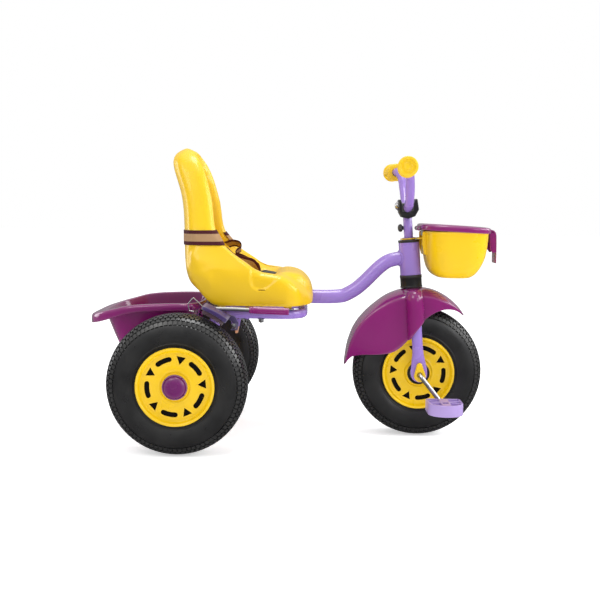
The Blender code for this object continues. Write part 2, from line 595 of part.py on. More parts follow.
# black locking knob on the back of the stem
knob = rod("height_knob", on_axis(0.2900, -0.0195), on_axis(0.2900, -0.0112), 0.0068, BLACK, "handlebar", 16)
join(knob, rod("neck", on_axis(0.2900, -0.0120), on_axis(0.2900, -0.0093), 0.0040, sides=12))
for side, tag in ((-1, "near"), (1, "far")):
    inner = Vector((0.2005, side * 0.112, 0.5331))
    outer = Vector((GRIP_X, side * GRIP_END_Y, GRIP_Z))
    along = (outer - inner).normalized()
    length = (outer - inner).length
    grip = turned(f"grip_{tag}", [(0.0, length), (0.0165, length), (0.0190, length - 0.0025), (0.0190, length - 0.0075),
                                  (0.0158, length - 0.0110), (0.0155, 0.0110), (0.0175, 0.0080), (0.0185, 0.0050), (0.0185, 0.0010),
                                  (0.0160, 0.0), (0.0, 0.0)], YELLOW, "handlebar", 16, inner, along)
    cut(grip, tube("cut_bar2", path, BAR_R + 0.0004, resolution=2))

# ------------------------------------------------------------------ basket
turned("basket_bracket", [(0.0205, 0.2690), (0.0205, 0.2662), (STEERER_R + 0.0005, 0.2662), (STEERER_R + 0.0005, 0.2690)],
       YELLOW, "steering", 24, HEAD, U)
PLATE = Matrix.Translation(on_axis(0.2676)) @ Matrix.Rotation(-RAKE, 4, "Y")
bracket = bpy.data.objects["basket_bracket"]
bracket = join(bracket, block("tongue", (0.0150, -0.0200, -0.0013), (0.0310, 0.0200, 0.0013), matrix=PLATE))

BASKET_MID = 0.3150


def basket_ring(z, grow=0.0, n=20):
    """Rounded-rectangle ring of the basket at height z."""
    rear = between(z, [(0.3205, 0.2880), (0.3240, 0.2760), (0.3330, 0.2655), (0.3480, 0.2585), (0.3650, 0.2550), (0.4140, 0.2520)])
    front = between(z, [(0.3205, 0.3330), (0.3240, 0.3440), (0.3330, 0.3540), (0.3480, 0.3625), (0.3650, 0.3690), (0.4140, 0.3738)])
    wide = between(z, [(0.3205, 0.0450), (0.3240, 0.0580), (0.3330, 0.0690), (0.3480, 0.0770), (0.3650, 0.0800), (0.4140, 0.0830)])
    cx, a, b = (rear + front) / 2, (front - rear) / 2 - grow, wide - grow
    ring = []
    for k in range(n):
        t = 2 * math.pi * (k + 0.5) / n
        c, s = math.cos(t), math.sin(t)
        p = 0.62
        ring.append((cx + a * math.copysign(abs(c) ** p, c), b * math.copysign(abs(s) ** p, s), z))
    return ring


levels = [0.3205, 0.3240, 0.3330, 0.3480, 0.3650, 0.4140]
outer = [basket_ring(z) for z in levels]
inner = [basket_ring(z, 0.0026) for z in levels[1:]]
inner = [[(x, y, z + (0.0015 if i == 0 else 0)) for x, y, z in ring] for i, ring in enumerate(inner)]
basket = loft("basket", outer + inner[::-1], YELLOW, "steering")
# back plate: carries the basket on its bracket
basket = join(basket, block("back_plate", (0.2468, -0.030, 0.3660), (0.2500, 0.030, 0.4135)),
              block("web1", (0.2480, -0.030, 0.3660), (0.2585, -0.026, 0.4135)),
              block("web2", (0.2480, 0.026, 0.3660), (0.2585, 0.030, 0.4135)))
cut(basket, block("cut_tongue", (0.24, -0.0206, 0.3945), (0.2506, 0.0206, 0.4018)))

# Lid: shallow dome with a skirt, hinge arms behind, and a hanging grab lip in front.


def lid_ring(grow, z, n=20):
    cx, a, b = 0.3120, 0.0650 + grow, 0.0865 + grow
    ring = []
    for k in range(n):
        t = 2 * math.pi * (k + 0.5) / n
        c, s = math.cos(t), math.sin(t)
        p = 0.62
        x = cx + a * math.copysign(abs(c) ** p, c)
        ring.append((x, b * math.copysign(abs(s) ** p, s), z - 0.045 * (x - 0.3165)))
    return ring


lid_rings = [lid_ring(0.0, 0.4175), lid_ring(0.0005, 0.4190), lid_ring(-0.004, 0.4225), lid_ring(-0.022, 0.4262), lid_ring(-0.045, 0.4275)]
lid_inner = [lid_ring(-0.045, 0.4248), lid_ring(-0.022, 0.4235), lid_ring(-0.0065, 0.4200), lid_ring(-0.0065, 0.4175)]
bm = bmesh.new()
rows = [[bm.verts.new(p) for p in ring] for ring in lid_rings]
under = [[bm.verts.new(p) for p in ring] for ring in lid_inner]
n = len(rows[0])
for group in (rows, under):
    for a, b in zip(group, group[1:]):
        for i in range(n):
            bm.faces.new((a[i], a[(i + 1) % n], b[(i + 1) % n], b[i]))
bm.faces.new(rows[-1])
bm.faces.new(under[0])
for i in range(n):
    bm.faces.new((rows[0][i], rows[0][(i + 1) % n], under[-1][(i + 1) % n], under[-1][i]))
lid = from_bm("basket_lid", bm, PURPLE, "lid")
lip_profile = [(0.3715, 0.4180), (0.3840, 0.4172), (0.3902, 0.4132), (0.3922, 0.4050), (0.3926, 0.3760), (0.3926, 0.3505),
               (0.3904, 0.3505), (0.3900, 0.3760), (0.3896, 0.4040), (0.3877, 0.4108), (0.3830, 0.4146), (0.3715, 0.4150)]
lip = outline("lip", lip_profile, 0.046, matrix=XZ)
cheeks = [outline("cheek", [(0.3785, 0.4160), (0.3905, 0.4112), (0.3910, 0.3725), (0.3835, 0.3730), (0.3798, 0.3860)], 0.0022,
                  matrix=at_y(side * 0.0215)) for side in (-1, 1)]
arms = [block("hinge_arm", (LID_X - 0.0050, side * 0.022 - 0.0045, 0.4155), (0.2640, side * 0.022 + 0.0045, 0.4210)) for side in (-1, 1)]
knuckles = [rod("knuckle", (LID_X, side * 0.022 - 0.0045, LID_Z), (LID_X, side * 0.022 + 0.0045, LID_Z), 0.0050, sides=12) for side in (-1, 1)]
lid = join(lid, lip, *cheeks, *arms, *knuckles)
lid = cut(lid, rod("cut_hinge", (LID_X, -0.04, LID_Z), (LID_X, 0.04, LID_Z), 0.0024, sides=10))
# hinge pin in a post that stands on the back plate
pin = rod("lid_hinge_pin", (LID_X, -0.0285, LID_Z), (LID_X, 0.0285, LID_Z), 0.0019, STEEL, "steering", 10)
pin = join(pin, block("post", (LID_X - 0.0032, -0.0160, LID_Z - 0.0030), (0.2463, 0.0160, LID_Z + 0.0028)),
           block("leaf", (0.2440, -0.0158, 0.4035), (0.2464, 0.0158, LID_Z)))

# ------------------------------------------------------------------ seat
SEAT_WALL = 0.0038


# Side view of the seat, by a station along its length: (X of the front face, X of the back face) by height, and half width.
BACK_X = [(0.268, -0.1740), (0.283, -0.1930), (0.2986, -0.2160), (0.323, -0.2260), (0.36, -0.2300), (0.42, -0.2340), (0.456, -0.2370),
          (0.48, -0.2420), (0.504, -0.2480), (0.52, -0.2530), (0.545, -0.2560), (0.558, -0.2500), (0.566, -0.2400)]
WING_X = [(0.33, -0.045), (0.3380, -0.0720), (0.3470, -0.0950), (0.3600, -0.1200), (0.3760, -0.1440), (0.3900, -0.1580), (0.4080, -0.1680),
          (0.4350, -0.1725), (0.457, -0.1753), (0.49, -0.1800), (0.52, -0.1870), (0.5400, -0.1930), (0.556, -0.2020)]
HALF_Y = [(0.268, 0.1400), (0.30, 0.1440), (0.33, 0.1430), (0.36, 0.1300), (0.39, 0.1190), (0.414, 0.1120), (0.457, 0.1020), (0.50, 0.0900),
          (0.53, 0.0780), (0.55, 0.0640), (0.563, 0.0420)]
SEAT_TOP = 0.5665


def shell_seat():
    """Bucket seat as one closed shell: back rest, wings and pan as horizontal slices, then a pan block with a hollow underside."""
    bm = bmesh.new()
    heights = [0.345, 0.375, 0.40, 0.43, 0.46, 0.49, 0.52, 0.54, 0.555]
    rings = []
    for z in heights:
        back, wing, half_y = between(z, BACK_X), between(z, WING_X), between(z, HALF_Y)
        deep = wing - back
        thick = 0.030 + 0.010 * ease((z - 0.45) / 0.1)          # back rest's own thickness
        bolster = 0.030 if z < 0.5 else 0.030 - 0.012 * ease((z - 0.5) / 0.055)
        inner_y = max(0.012, half_y - bolster)
        ring = [(back + 0.0060, 0.0), (back + 0.0065, half_y * 0.55), (back + 0.016, half_y * 0.88), (back + 0.5 * deep, half_y),
                (wing - 0.008, half_y * 0.985), (wing, half_y - bolster * 0.45), (wing - 0.010, inner_y),
                (back + thick + 0.014, inner_y * 0.93), (back + thick, inner_y * 0.60), (back + thick - 0.002, 0.0)]
        ring = [(x, -y, z) for x, y in ring] + [(x, y, z) for x, y in ring[-2:0:-1]]
        rings.append(ring)
    z = 0.5690
    top = []
    for x, y, _ in rings[-1]:
        cx = -0.2260
        top.append((cx + (x - cx) * 0.55, y * 0.72, z))
    rings.append(top)
    return rings


back_rest = loft("seat_shell", shell_seat(), YELLOW, "seat")


def pan_rings():
    """Pan and wings as slices across the seat, from the rear face to the front roll."""
    stations = [(-0.2080, 0.300, 0.350, 0.372, 0.080, 0.128), (-0.1850, 0.2720, 0.352, 0.385, 0.086, 0.139), (-0.1550, 0.2672, 0.350, 0.3835, 0.090, 0.1425),
                (-0.1200, 0.2672, 0.330, 0.3640, 0.092, 0.1435), (-0.0850, 0.2672, 0.315, 0.3440, 0.094, 0.1440), (-0.0450, 0.2672, 0.306, 0.3330, 0.098, 0.1440),
                (-0.0150, 0.2672, 0.303, 0.3230, 0.105, 0.1425), (0.0050, 0.2672, 0.300, 0.3120, 0.108, 0.1380), (0.0180, 0.2680, 0.296, 0.3040, 0.100, 0.1290),
                (0.0255, 0.2730, 0.288, 0.2920, 0.085, 0.1180)]
    rings = []
    for x, low, pan, wing, y_in, y_out in stations:
        half = [(0.0, low), (y_out * 0.6, low), (y_out - 0.004, low), (y_out, low + 0.35 * (wing - low)), (y_out - 0.0005, low + 0.75 * (wing - low)),
                (y_out - 0.008, wing - 0.003), (y_out - 0.018, wing), (y_in + 0.010, wing - 0.008 if wing - pan > 0.02 else wing - 0.003),
                (y_in, pan + 0.3 * (wing - pan)), (y_in * 0.7, pan), (0.0, pan - 0.001)]
        rings.append([(x, -y, z) for y, z in half] + [(x, y, z) for y, z in half[-2:0:-1]])
    return rings


pan = loft("pan", pan_rings())
hollow_rings = []
for x, low, top, wide in ((-0.190, 0.240, 0.3060, 0.1320), (-0.150, 0.240, 0.3100, 0.1385), (-0.10, 0.240, 0.3050, 0.1395), (-0.04, 0.240, 0.2985, 0.1390),
                          (0.000, 0.240, 0.2955, 0.1330), (0.0150, 0.240, 0.2920, 0.1180)):
    half = [(0.0, low), (wide, low), (wide, top - 0.008), (wide - 0.012, top), (0.0, top)]
    hollow_rings.append([(x, -y, z) for y, z in half] + [(x, y, z) for y, z in half[-2:0:-1]])
hollow = loft("hollow", hollow_rings)
seat = join(back_rest, pan)
seat = cut(seat, hollow,
           block("slot_front", (0.000, -0.0165, 0.24), (0.060, 0.0165, 0.2940)))
# moulded bosses that stand on the slide rails
seat = join(seat, *[block("boss", (x - 0.008, side * 0.105 - 0.008, 0.2622), (x + 0.008, side * 0.105 + 0.008, 0.3100))
                    for side in (-1, 1) for x in (-0.150, -0.022)])

# Slide rails: slotted steel strips that lie on the U tube and carry the seat.
for side, tag in ((-1, "near"), (1, "far")):
    y = side * UTUBE_Y
    rail = block(f"seat_rail_{tag}", (-0.162, y - 0.011, UTUBE_Z + UTUBE_R + 0.0003), (-0.010, y + 0.011, 0.2619), STEEL, "seat")
    slot = block("slot", (-0.073 - SEAT_SLIDE - 0.0040, y - 0.0036, 0.25), (-0.073 + 0.0040, y + 0.0036, 0.27))
    cut(rail, slot)


# Lap belt: webbing round the back of the seat, over both wings' front edges, with a buckle half on each end.
def belt_ribbon(name, points, width, thickness, mat, body_name, ups):
    """Ribbon along the points; ups gives the width direction at each point."""
    pts = [Vector(p) for p in points]
    rings = []
    for i, p in enumerate(pts):
        t = (pts[min(i + 1, len(pts) - 1)] - pts[max(i - 1, 0)]).normalized()
        w = Vector(ups[i])
        w = (w - t * w.dot(t)).normalized()
        d = t.cross(w).normalized()
        rings.append([p + w * width / 2 + d * thickness / 2, p - w * width / 2 + d * thickness / 2,
                      p - w * width / 2 - d * thickness / 2, p + w * width / 2 - d * thickness / 2])
    return loft(name, rings, mat, body_name)


BELT_Z = 0.3990
HALF_AT = between(BELT_Z, HALF_Y)
back_at, wing_at = between(BELT_Z, BACK_X), between(BELT_Z, WING_X)
clear = 0.0022
wrap = [(wing_at - 0.012, -HALF_AT - clear + 0.001), (back_at + 0.040, -HALF_AT - clear), (back_at + 0.022, -HALF_AT * 0.97 - clear), (back_at + 0.012, -HALF_AT * 0.88 - clear - 0.001),
        (back_at + 0.0065 - clear, -HALF_AT * 0.70), (back_at + 0.0055 - clear, -HALF_AT * 0.45), (back_at + 0.0045 - clear, 0.0)]
wrap = wrap + [(x, -y) for x, y in wrap[-2::-1]]
belt_ribbon("belt_back_strap", [(x, y, BELT_Z + 0.0015) for x, y in wrap], 0.0250, 0.0016, WEBBING, "seat",
            [(-0.067, -0.29 * math.copysign(min(1.0, (abs(y) / HALF_AT) ** 3), y), 1) for x, y in wrap])

# belt ends coming off the wings' inner faces: the near one stands on its edge, the far one has a loose fold
BELT_NEAR = [(-0.1520, -0.0660, 0.3700), (-0.1340, -0.0560, 0.3540), (-0.1140, -0.0460, 0.3480), (-0.0970, -0.0390, 0.3430), (-0.0870, -0.0355, 0.3345), (-0.0815, -0.0330, 0.3270)]
BELT_FAR = [(-0.1540, 0.0680, 0.3760), (-0.1400, 0.0620, 0.3800), (-0.1270, 0.0570, 0.3770), (-0.1240, 0.0530, 0.3690), (-0.1330, 0.0490, 0.3615), (-0.1330, 0.0460, 0.3550),
            (-0.1200, 0.0430, 0.3510), (-0.1020, 0.0385, 0.3425), (-0.0870, 0.0355, 0.3340), (-0.0815, 0.0330, 0.3270)]
for side, tag, pts in ((-1, "near", BELT_NEAR), (1, "far", BELT_FAR)):
    ups = [(0.0, -0.50, 0.86)] * len(pts) if side < 0 else [(0.10, -0.82, 0.56)] * len(pts)
    ups[-2:] = [(0.0, -0.80, 0.60), (0.0, -0.95, 0.30)]
    belt_ribbon(f"belt_end_{tag}", pts, 0.0240, 0.0018, WEBBING, "seat", ups)
    m = Matrix.Translation((-0.0650, side * 0.0270, 0.3205)) @ Matrix.Rotation(-side * math.radians(20), 4, "Z") @ Matrix.Rotation(math.radians(8), 4, "Y")
    block(f"belt_buckle_{tag}", (-0.0130, -0.0160, -0.0045), (0.0150, 0.0160, 0.0045), BLACK, "seat", m, 0.002)

# ------------------------------------------------------------------ tub
RIM_Z = [(-0.4200, 0.2238), (-0.4140, 0.2296), (-0.4050, 0.2350), (-0.3900, 0.2420), (-0.3650, 0.2507), (-0.3350, 0.2600), (-0.3000, 0.2668), (-0.2600, 0.2697), (-0.1850, 0.2705)]


def tub_outline(scale_in, n=28):
    """Plan of the rim: straight sides, square front, rounded nose behind."""
    rear, front, wide = -0.4186 + scale_in, -0.1840 - scale_in * 0.55, 0.1430 - scale_in
    spots = []
    for k in range(n):
        t = 2 * math.pi * (k + 0.5) / n
        c, s = math.cos(t), math.sin(t)
        if c > 0:
            x = -0.2900 + (front + 0.2900) * abs(c) ** 0.32
            y = wide * math.copysign(abs(s) ** 0.40, s)
        else:
            x = -0.2900 - (-0.2900 - rear) * abs(c) ** 0.80
            y = wide * math.copysign(abs(s) ** 0.62, s)
        spots.append((x, y))
    return spots


def tub_level(scale_in, drop, floor=None):
    ring = []
    for x, y in tub_outline(scale_in):
        z = between(x, RIM_Z) - (drop * between(x, [(-0.4186, 0.50), (-0.3600, 1.0)]) if drop > 0.0050 else drop)
        if floor is not None:
            z = floor
        ring.append((x, y, z))
    return ring


def tub_wall(inset, depth_t, n=28):
    """Ring part way down the wall: 0 at the rim, 1 at the floor, tapering in as it goes."""
    rim = tub_outline(0.0140 + inset)
    rear, front, wide = -0.3350, -0.2300, 0.0980
    ring = []
    for k, (x, y) in enumerate(rim):
        t = 2 * math.pi * (k + 0.5) / n
        c, s = math.cos(t), math.sin(t)
        if c > 0:
            fx = -0.2820 + (front - inset + 0.2820) * abs(c) ** 0.32
            fy = (wide - inset) * math.copysign(abs(s) ** 0.40, s)
        else:
            fx = -0.2820 - (-0.2820 - (rear + inset)) * abs(c) ** 0.60
            fy = (wide - inset) * math.copysign(abs(s) ** 0.50, s)
        zr = between(x, RIM_Z) - 0.0020
        zf = 0.1600 + (0.0032 if inset else 0.0)
        u = depth_t
        curve = u ** 0.9
        ring.append((x + (fx - x) * curve, y + (fy - y) * (u ** 1.3), zr + (zf - zr) * math.sin(u * math.pi / 2)))
    return ring


skin = 0.0032
tub_rows = [tub_level(0.0030, 0.0130), tub_level(0.0, 0.0120), tub_level(0.0, 0.0030), tub_level(0.0030, 0.0), tub_level(0.0140, -0.0004)]
tub_rows += [tub_wall(skin, t) for t in (0.25, 0.55, 0.80, 1.0)]
bottom_in = tub_rows[-1]
out_rows = [tub_wall(0.0, t) for t in (1.0, 0.80, 0.55, 0.25)]
out_rows += [tub_level(0.0140, 0.0034), tub_level(0.0040, 0.0034)]
bm = bmesh.new()
rows_in = [[bm.verts.new(p) for p in ring] for ring in tub_rows]
rows_out = [[bm.verts.new(p) for p in ring] for ring in out_rows]
n = len(rows_in[0])
for group in (rows_in, rows_out):
    for a, b in zip(group, group[1:]):
        for i in range(n):
            bm.faces.new((a[i], a[(i + 1) % n], b[(i + 1) % n], b[i]))
bm.faces.new(rows_in[-1])
bm.faces.new(rows_out[0])
for i in range(n):
    bm.faces.new((rows_out[-1][i], rows_out[-1][(i + 1) % n], rows_in[0][(i + 1) % n], rows_in[0][i]))
tub = from_bm("tub_shell", bm, PURPLE, "tub")
# peg on the near rim, which the wire springs over; the wire is drawn just clear of its end
tub = join(tub, rod("peg", (-0.2000, -0.1280, 0.2625), (-0.2000, -0.1440, 0.2625), 0.0030, sides=10))
# hinge straps under the floor, hooked round the axle
for side, tag in ((-1, "near"), (1, "far")):
    y = side * 0.070
    strap = outline(f"tub_hinge_{tag}", arc(REAR_X, WHEEL_R, 0.0130, -170, 60, 8) + [(REAR_X + 0.0040, 0.1560), (REAR_X - 0.0150, 0.1597), (REAR_X - 0.075, 0.1597),
                                                                             (REAR_X - 0.075, 0.1565), (REAR_X - 0.026, 0.1550)],
                    0.014, STEEL, "tub", at_y(y))
    cut(strap, rod("cut_axle4", (REAR_X, y - 0.02, WHEEL_R), (REAR_X, y + 0.02, WHEEL_R), 0.0065, sides=16))

# Wire latch: a bent triangle, pivoted on the frame, hooked behind the peg.
wire = rounded_path([(LATCH_X, -0.1385, LATCH_Z), (LATCH_X, -0.1470, LATCH_Z), (-0.1806, -0.1470, 0.2658), (-0.1996, -0.1470, 0.2838), (-0.2094, -0.1470, 0.2716),
                     (-0.2070, -0.1470, 0.2585), (-0.1985, -0.1470, 0.2572)], 0.0022, 2)
tube("latch_wire", wire, 0.0011, STEEL, "tub_latch", 2)

# ------------------------------------------------------------------ brake
shaft = rod("brake_shaft", (BRAKE_X, -0.1560, BRAKE_Z), (BRAKE_X, 0.1560, BRAKE_Z), 0.0050, STEEL, "brake", 16)
# a tongue hangs from the middle of the shaft
tongue = outline("brake_tongue", [(BRAKE_X - 0.0090, 0.2290), (BRAKE_X - 0.0020, 0.2310), (BRAKE_X + 0.0010, 0.2200), (BRAKE_X - 0.0040, 0.1990),
                                  (BRAKE_X - 0.0070, 0.1985), (BRAKE_X - 0.0100, 0.2150)], 0.012, matrix=at_y(0.0))
join(shaft, tongue)


def polar(angle, r):
    return (REAR_X + r * math.cos(math.radians(angle)), WHEEL_R + r * math.sin(math.radians(angle)))


LEVER = [(-0.1580, -0.1680, 0.2650), (-0.1200, -0.1680, 0.2643), (-0.0890, -0.1680, 0.2630), (-0.0300, -0.1680, 0.2614)]
for side, tag in ((-1, "near"), (1, "far")):
    # curved shoe that follows the tread, on a plate that is clamped to the shaft
    shape = [polar(a, 0.1440 + 0.0030 * (a - 46) / 29) for a in (46.5, 53, 60, 65, 70)] + [polar(a, 0.1535) for a in (70, 65, 60, 53, 46.5)]
    shoe = outline(f"brake_shoe_{tag}", shape, 0.062, LILAC, "brake", at_y(side * 0.1930))
    plate = outline("shoe_plate", [polar(47.5, 0.1465), polar(59, 0.1475), polar(58, 0.1510), polar(50, 0.158), (BRAKE_X + 0.009, BRAKE_Z + 0.006), (BRAKE_X + 0.008, BRAKE_Z - 0.008),
                                   (BRAKE_X - 0.006, BRAKE_Z - 0.0085)], 0.0050, matrix=at_y(side * 0.1600))
    shoe = join(shoe, plate)
    tools = [rod("cut_shaft2", (BRAKE_X, side * 0.150, BRAKE_Z), (BRAKE_X, side * 0.170, BRAKE_Z), 0.0053, sides=16)]
    if side < 0:
        tools.append(tube("cut_lever", LEVER, 0.0040, resolution=2))
    cut(shoe, *tools)
    pad = [polar(a, 0.1358 + 0.0042 * (a - 46) / 29) for a in (48, 54, 60, 65, 69)] + [polar(a, 0.1437 + 0.0029 * (a - 46) / 29) for a in (69, 65, 60, 54, 48)]
    outline(f"brake_pad_{tag}", pad, 0.052, BLACK, "brake", at_y(side * 0.1950))

# lever rod and its moulded grip, on the near side
lever = tube("brake_rod", LEVER, 0.0036, STEEL, "brake", 2)
grip = tube("brake_handle", [(-0.0880, -0.1680, 0.2630), (-0.0800, -0.1680, 0.26275), (-0.0200, -0.1680, 0.2611), (-0.0150, -0.1680, 0.2610)], 0.0066, PURPLE, "brake", 3)
cut(grip, tube("cut_rod", LEVER, 0.0039, resolution=2))


# ------------------------------------------------------------------ parents and origins
def hang_on_bodies():
    empties = {}
    for name, parent in BODY_PARENT.items():
        empty = bpy.data.objects.new(f"joint_{name}", None)
        empty.empty_display_size = 0.03
        PARTS.objects.link(empty)
        empties[name] = empty
        base = BODY_ORIGIN[parent] if parent else Vector((-SHIFT_X, 0, 0))
        if parent:
            empty.parent = empties[parent]
        empty.location = BODY_ORIGIN[name] - base
    for name, body_name in BODY.items():
        obj = bpy.data.objects.get(name)
        if obj is None:
            continue
        obj.data.transform(Matrix.Translation(-BODY_ORIGIN[body_name]))
        obj.parent = empties[body_name]
        obj.data.shade_smooth()
        obj.data.set_sharp_from_angle(angle=math.radians(35))
    for obj in list(PARTS.objects):
        if obj.type == "MESH" and obj.name not in BODY:
            obj.hide_render = True
            obj.display_type = "WIRE"


hang_on_bodies()
bpy.context.view_layer.update()
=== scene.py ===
"""Looks of the child's tricycle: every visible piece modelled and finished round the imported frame."""

import math

import bmesh
import bpy
import numpy as np
from mathutils import Matrix, Vector
from mathutils.bvhtree import BVHTree


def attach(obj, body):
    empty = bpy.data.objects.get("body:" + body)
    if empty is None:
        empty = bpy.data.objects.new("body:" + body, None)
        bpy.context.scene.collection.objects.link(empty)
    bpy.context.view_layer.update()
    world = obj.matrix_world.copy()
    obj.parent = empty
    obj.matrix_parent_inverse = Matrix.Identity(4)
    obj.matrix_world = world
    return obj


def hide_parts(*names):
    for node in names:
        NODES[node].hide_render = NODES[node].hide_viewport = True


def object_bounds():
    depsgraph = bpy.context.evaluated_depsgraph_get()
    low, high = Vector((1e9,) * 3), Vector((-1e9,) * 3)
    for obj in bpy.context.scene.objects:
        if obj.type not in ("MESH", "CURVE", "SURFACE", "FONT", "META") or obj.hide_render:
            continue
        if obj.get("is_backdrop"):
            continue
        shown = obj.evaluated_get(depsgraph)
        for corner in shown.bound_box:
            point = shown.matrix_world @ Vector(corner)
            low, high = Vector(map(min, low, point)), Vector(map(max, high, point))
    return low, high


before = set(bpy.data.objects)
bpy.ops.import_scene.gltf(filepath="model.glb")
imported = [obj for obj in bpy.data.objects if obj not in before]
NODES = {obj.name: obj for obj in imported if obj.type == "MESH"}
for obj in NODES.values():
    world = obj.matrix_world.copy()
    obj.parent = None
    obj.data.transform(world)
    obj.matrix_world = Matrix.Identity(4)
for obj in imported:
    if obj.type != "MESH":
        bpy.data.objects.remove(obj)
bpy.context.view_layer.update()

# ---------------------------------------------------------------- sizes shared with the CAD, in its layout frame
SHIFT = Vector((0.0131, 0.0, 0.0))
WHEEL_R, RIM_R = 0.130, 0.072
REAR_X, REAR_Y, FRONT_X = -0.2211, 0.2024, 0.2400
RAKE = math.radians(4.66)
FORK_Y = 0.0570
GRIP_X, GRIP_Z, GRIP_END_Y = 0.1957, 0.5341, 0.179
BRAKE_X, BRAKE_Z = -0.122, 0.2330
LATCH_X, LATCH_Z = -0.1700, 0.2650
LID_X, LID_Z = 0.2365, 0.4180
CLAMP_S = 0.3270
U = Vector((-math.sin(RAKE), 0.0, math.cos(RAKE)))
V = Vector((math.cos(RAKE), 0.0, math.sin(RAKE)))
AXLE = Vector((FRONT_X, 0.0, WHEEL_R))


def on_axis(s, forward=0.0, side=0.0):
    return AXLE + U * s + V * forward + Vector((0.0, side, 0.0))


# ---------------------------------------------------------------- camera, floor and light
scene = bpy.context.scene
PITCH, YAW, ROLL = 0.0944, -0.0058, 0.0158
look = Vector((math.sin(YAW) * math.cos(PITCH), math.cos(YAW) * math.cos(PITCH), -math.sin(PITCH)))
right0 = Vector((math.cos(YAW), -math.sin(YAW), 0.0))
up0 = right0.cross(look)
right = right0 * math.cos(ROLL) + up0 * math.sin(ROLL)
up = up0 * math.cos(ROLL) - right0 * math.sin(ROLL)
camera_data = bpy.data.cameras.new("photo_camera")
camera_data.lens = 988.1738 / 600 * 36
camera_data.sensor_width = 36
camera_data.clip_start, camera_data.clip_end = 0.05, 60
camera = bpy.data.objects.new("photo_camera", camera_data)
scene.collection.objects.link(camera)
camera.matrix_world = Matrix((
    (right.x, up.x, -look.x, 0.0124 + SHIFT.x),
    (right.y, up.y, -look.y, -2.0001),
    (right.z, up.z, -look.z, 0.458),
    (0, 0, 0, 1)))
scene.camera = camera

scene.view_settings.view_transform = "Standard"
scene.view_settings.look = "None"
scene.view_settings.exposure = 0.0


def area_light(name, at, aim, width, height, power, colour=(1, 1, 1)):
    data = bpy.data.lights.new(name, "AREA")
    data.shape = "RECTANGLE"
    data.size, data.size_y = width, height
    data.energy = power
    data.color = colour
    obj = bpy.data.objects.new(name, data)
    scene.collection.objects.link(obj)
    obj.location = at
    obj.rotation_euler = (Vector(aim) - Vector(at)).to_track_quat("-Z", "Y").to_euler()
    return obj


area_light("key", (-1.3, -1.9, 2.2), (0, 0, 0.25), 1.3, 1.1, 18, (1.0, 0.985, 0.96))
area_light("top", (0.15, 0.0, 2.4), (0, 0, 0.2), 1.5, 0.7, 26, (1.0, 1.0, 1.0))
area_light("back_left", (-2.2, 0.9, 0.7), (0, 0, 0.3), 0.9, 1.1, 10, (0.98, 0.99, 1.0))
area_light("back_right", (2.0, 1.0, 1.2), (0, 0, 0.3), 0.9, 1.1, 12, (0.98, 0.99, 1.0))
area_light("fill", (1.8, -2.1, 1.1), (0, 0, 0.25), 0.9, 0.9, 7, (0.97, 0.98, 1.0))
area_light("side_right", (2.3, -0.45, 1.5), (-0.1, 0, 0.35), 1.4, 1.4, 30, (1.0, 1.0, 1.0))

# the studio: white seen directly, and a cove that grades from dim below to bright above
world = bpy.data.worlds.new("studio")
scene.world = world
world.use_nodes = True
nt = world.node_tree
nt.nodes.clear()
out = nt.nodes.new("ShaderNodeOutputWorld")
seen = nt.nodes.new("ShaderNodeBackground")
seen.inputs["Color"].default_value = (1.0, 1.0, 1.0, 1)
seen.inputs["Strength"].default_value = 1.0
lit = nt.nodes.new("ShaderNodeBackground")
lit.inputs["Strength"].default_value = 1.0
where = nt.nodes.new("ShaderNodeTexCoord")
split = nt.nodes.new("ShaderNodeSeparateXYZ")
nt.links.new(where.outputs["Generated"], split.inputs[0])
weigh = nt.nodes.new("ShaderNodeMath")
weigh.operation = "MULTIPLY_ADD"
weigh.inputs[1].default_value = 1.0
nt.links.new(split.outputs["Z"], weigh.inputs[0])
weigh.inputs[2].default_value = 0.0
spread = nt.nodes.new("ShaderNodeMapRange")
spread.inputs["From Min"].default_value = -0.9
spread.inputs["From Max"].default_value = 0.9
nt.links.new(weigh.outputs[0], spread.inputs["Value"])
cove = nt.nodes.new("ShaderNodeValToRGB")
cove.color_ramp.elements[0].position = 0.0
cove.color_ramp.elements[0].color = (0.07, 0.07, 0.072, 1)
cove.color_ramp.elements[1].position = 1.0
cove.color_ramp.elements[1].color = (0.90, 0.90, 0.90, 1)
middle = cove.color_ramp.elements.new(0.5)
middle.color = (0.30, 0.30, 0.305, 1)
nt.links.new(spread.outputs[0], cove.inputs["Fac"])
nt.links.new(cove.outputs["Color"], lit.inputs["Color"])
path = nt.nodes.new("ShaderNodeLightPath")
choose = nt.nodes.new("ShaderNodeMixShader")
nt.links.new(path.outputs["Is Camera Ray"], choose.inputs[0])
nt.links.new(lit.outputs[0], choose.inputs[1])
nt.links.new(seen.outputs[0], choose.inputs[2])
nt.links.new(choose.outputs[0], out.inputs[0])


# ---------------------------------------------------------------- materials
def shader(name, colour, rough, metallic=0.0, coat=0.0, coat_rough=0.05, ior=1.5):
    mat = bpy.data.materials.new(name)
    mat.use_nodes = True
    tree = mat.node_tree
    bsdf = tree.nodes["Principled BSDF"]
    bsdf.inputs["Base Color"].default_value = (*colour, 1)
    bsdf.inputs["Roughness"].default_value = rough
    bsdf.inputs["Metallic"].default_value = metallic
    bsdf.inputs["Coat Weight"].default_value = coat
    bsdf.inputs["Coat Roughness"].default_value = coat_rough
    bsdf.inputs["IOR"].default_value = ior
    return mat, tree, bsdf


def node(tree, kind, **values):
    made = tree.nodes.new(kind)
    for key, value in values.items():
        if key in made.inputs:
            made.inputs[key].default_value = value
        else:
            setattr(made, key, value)
    return made


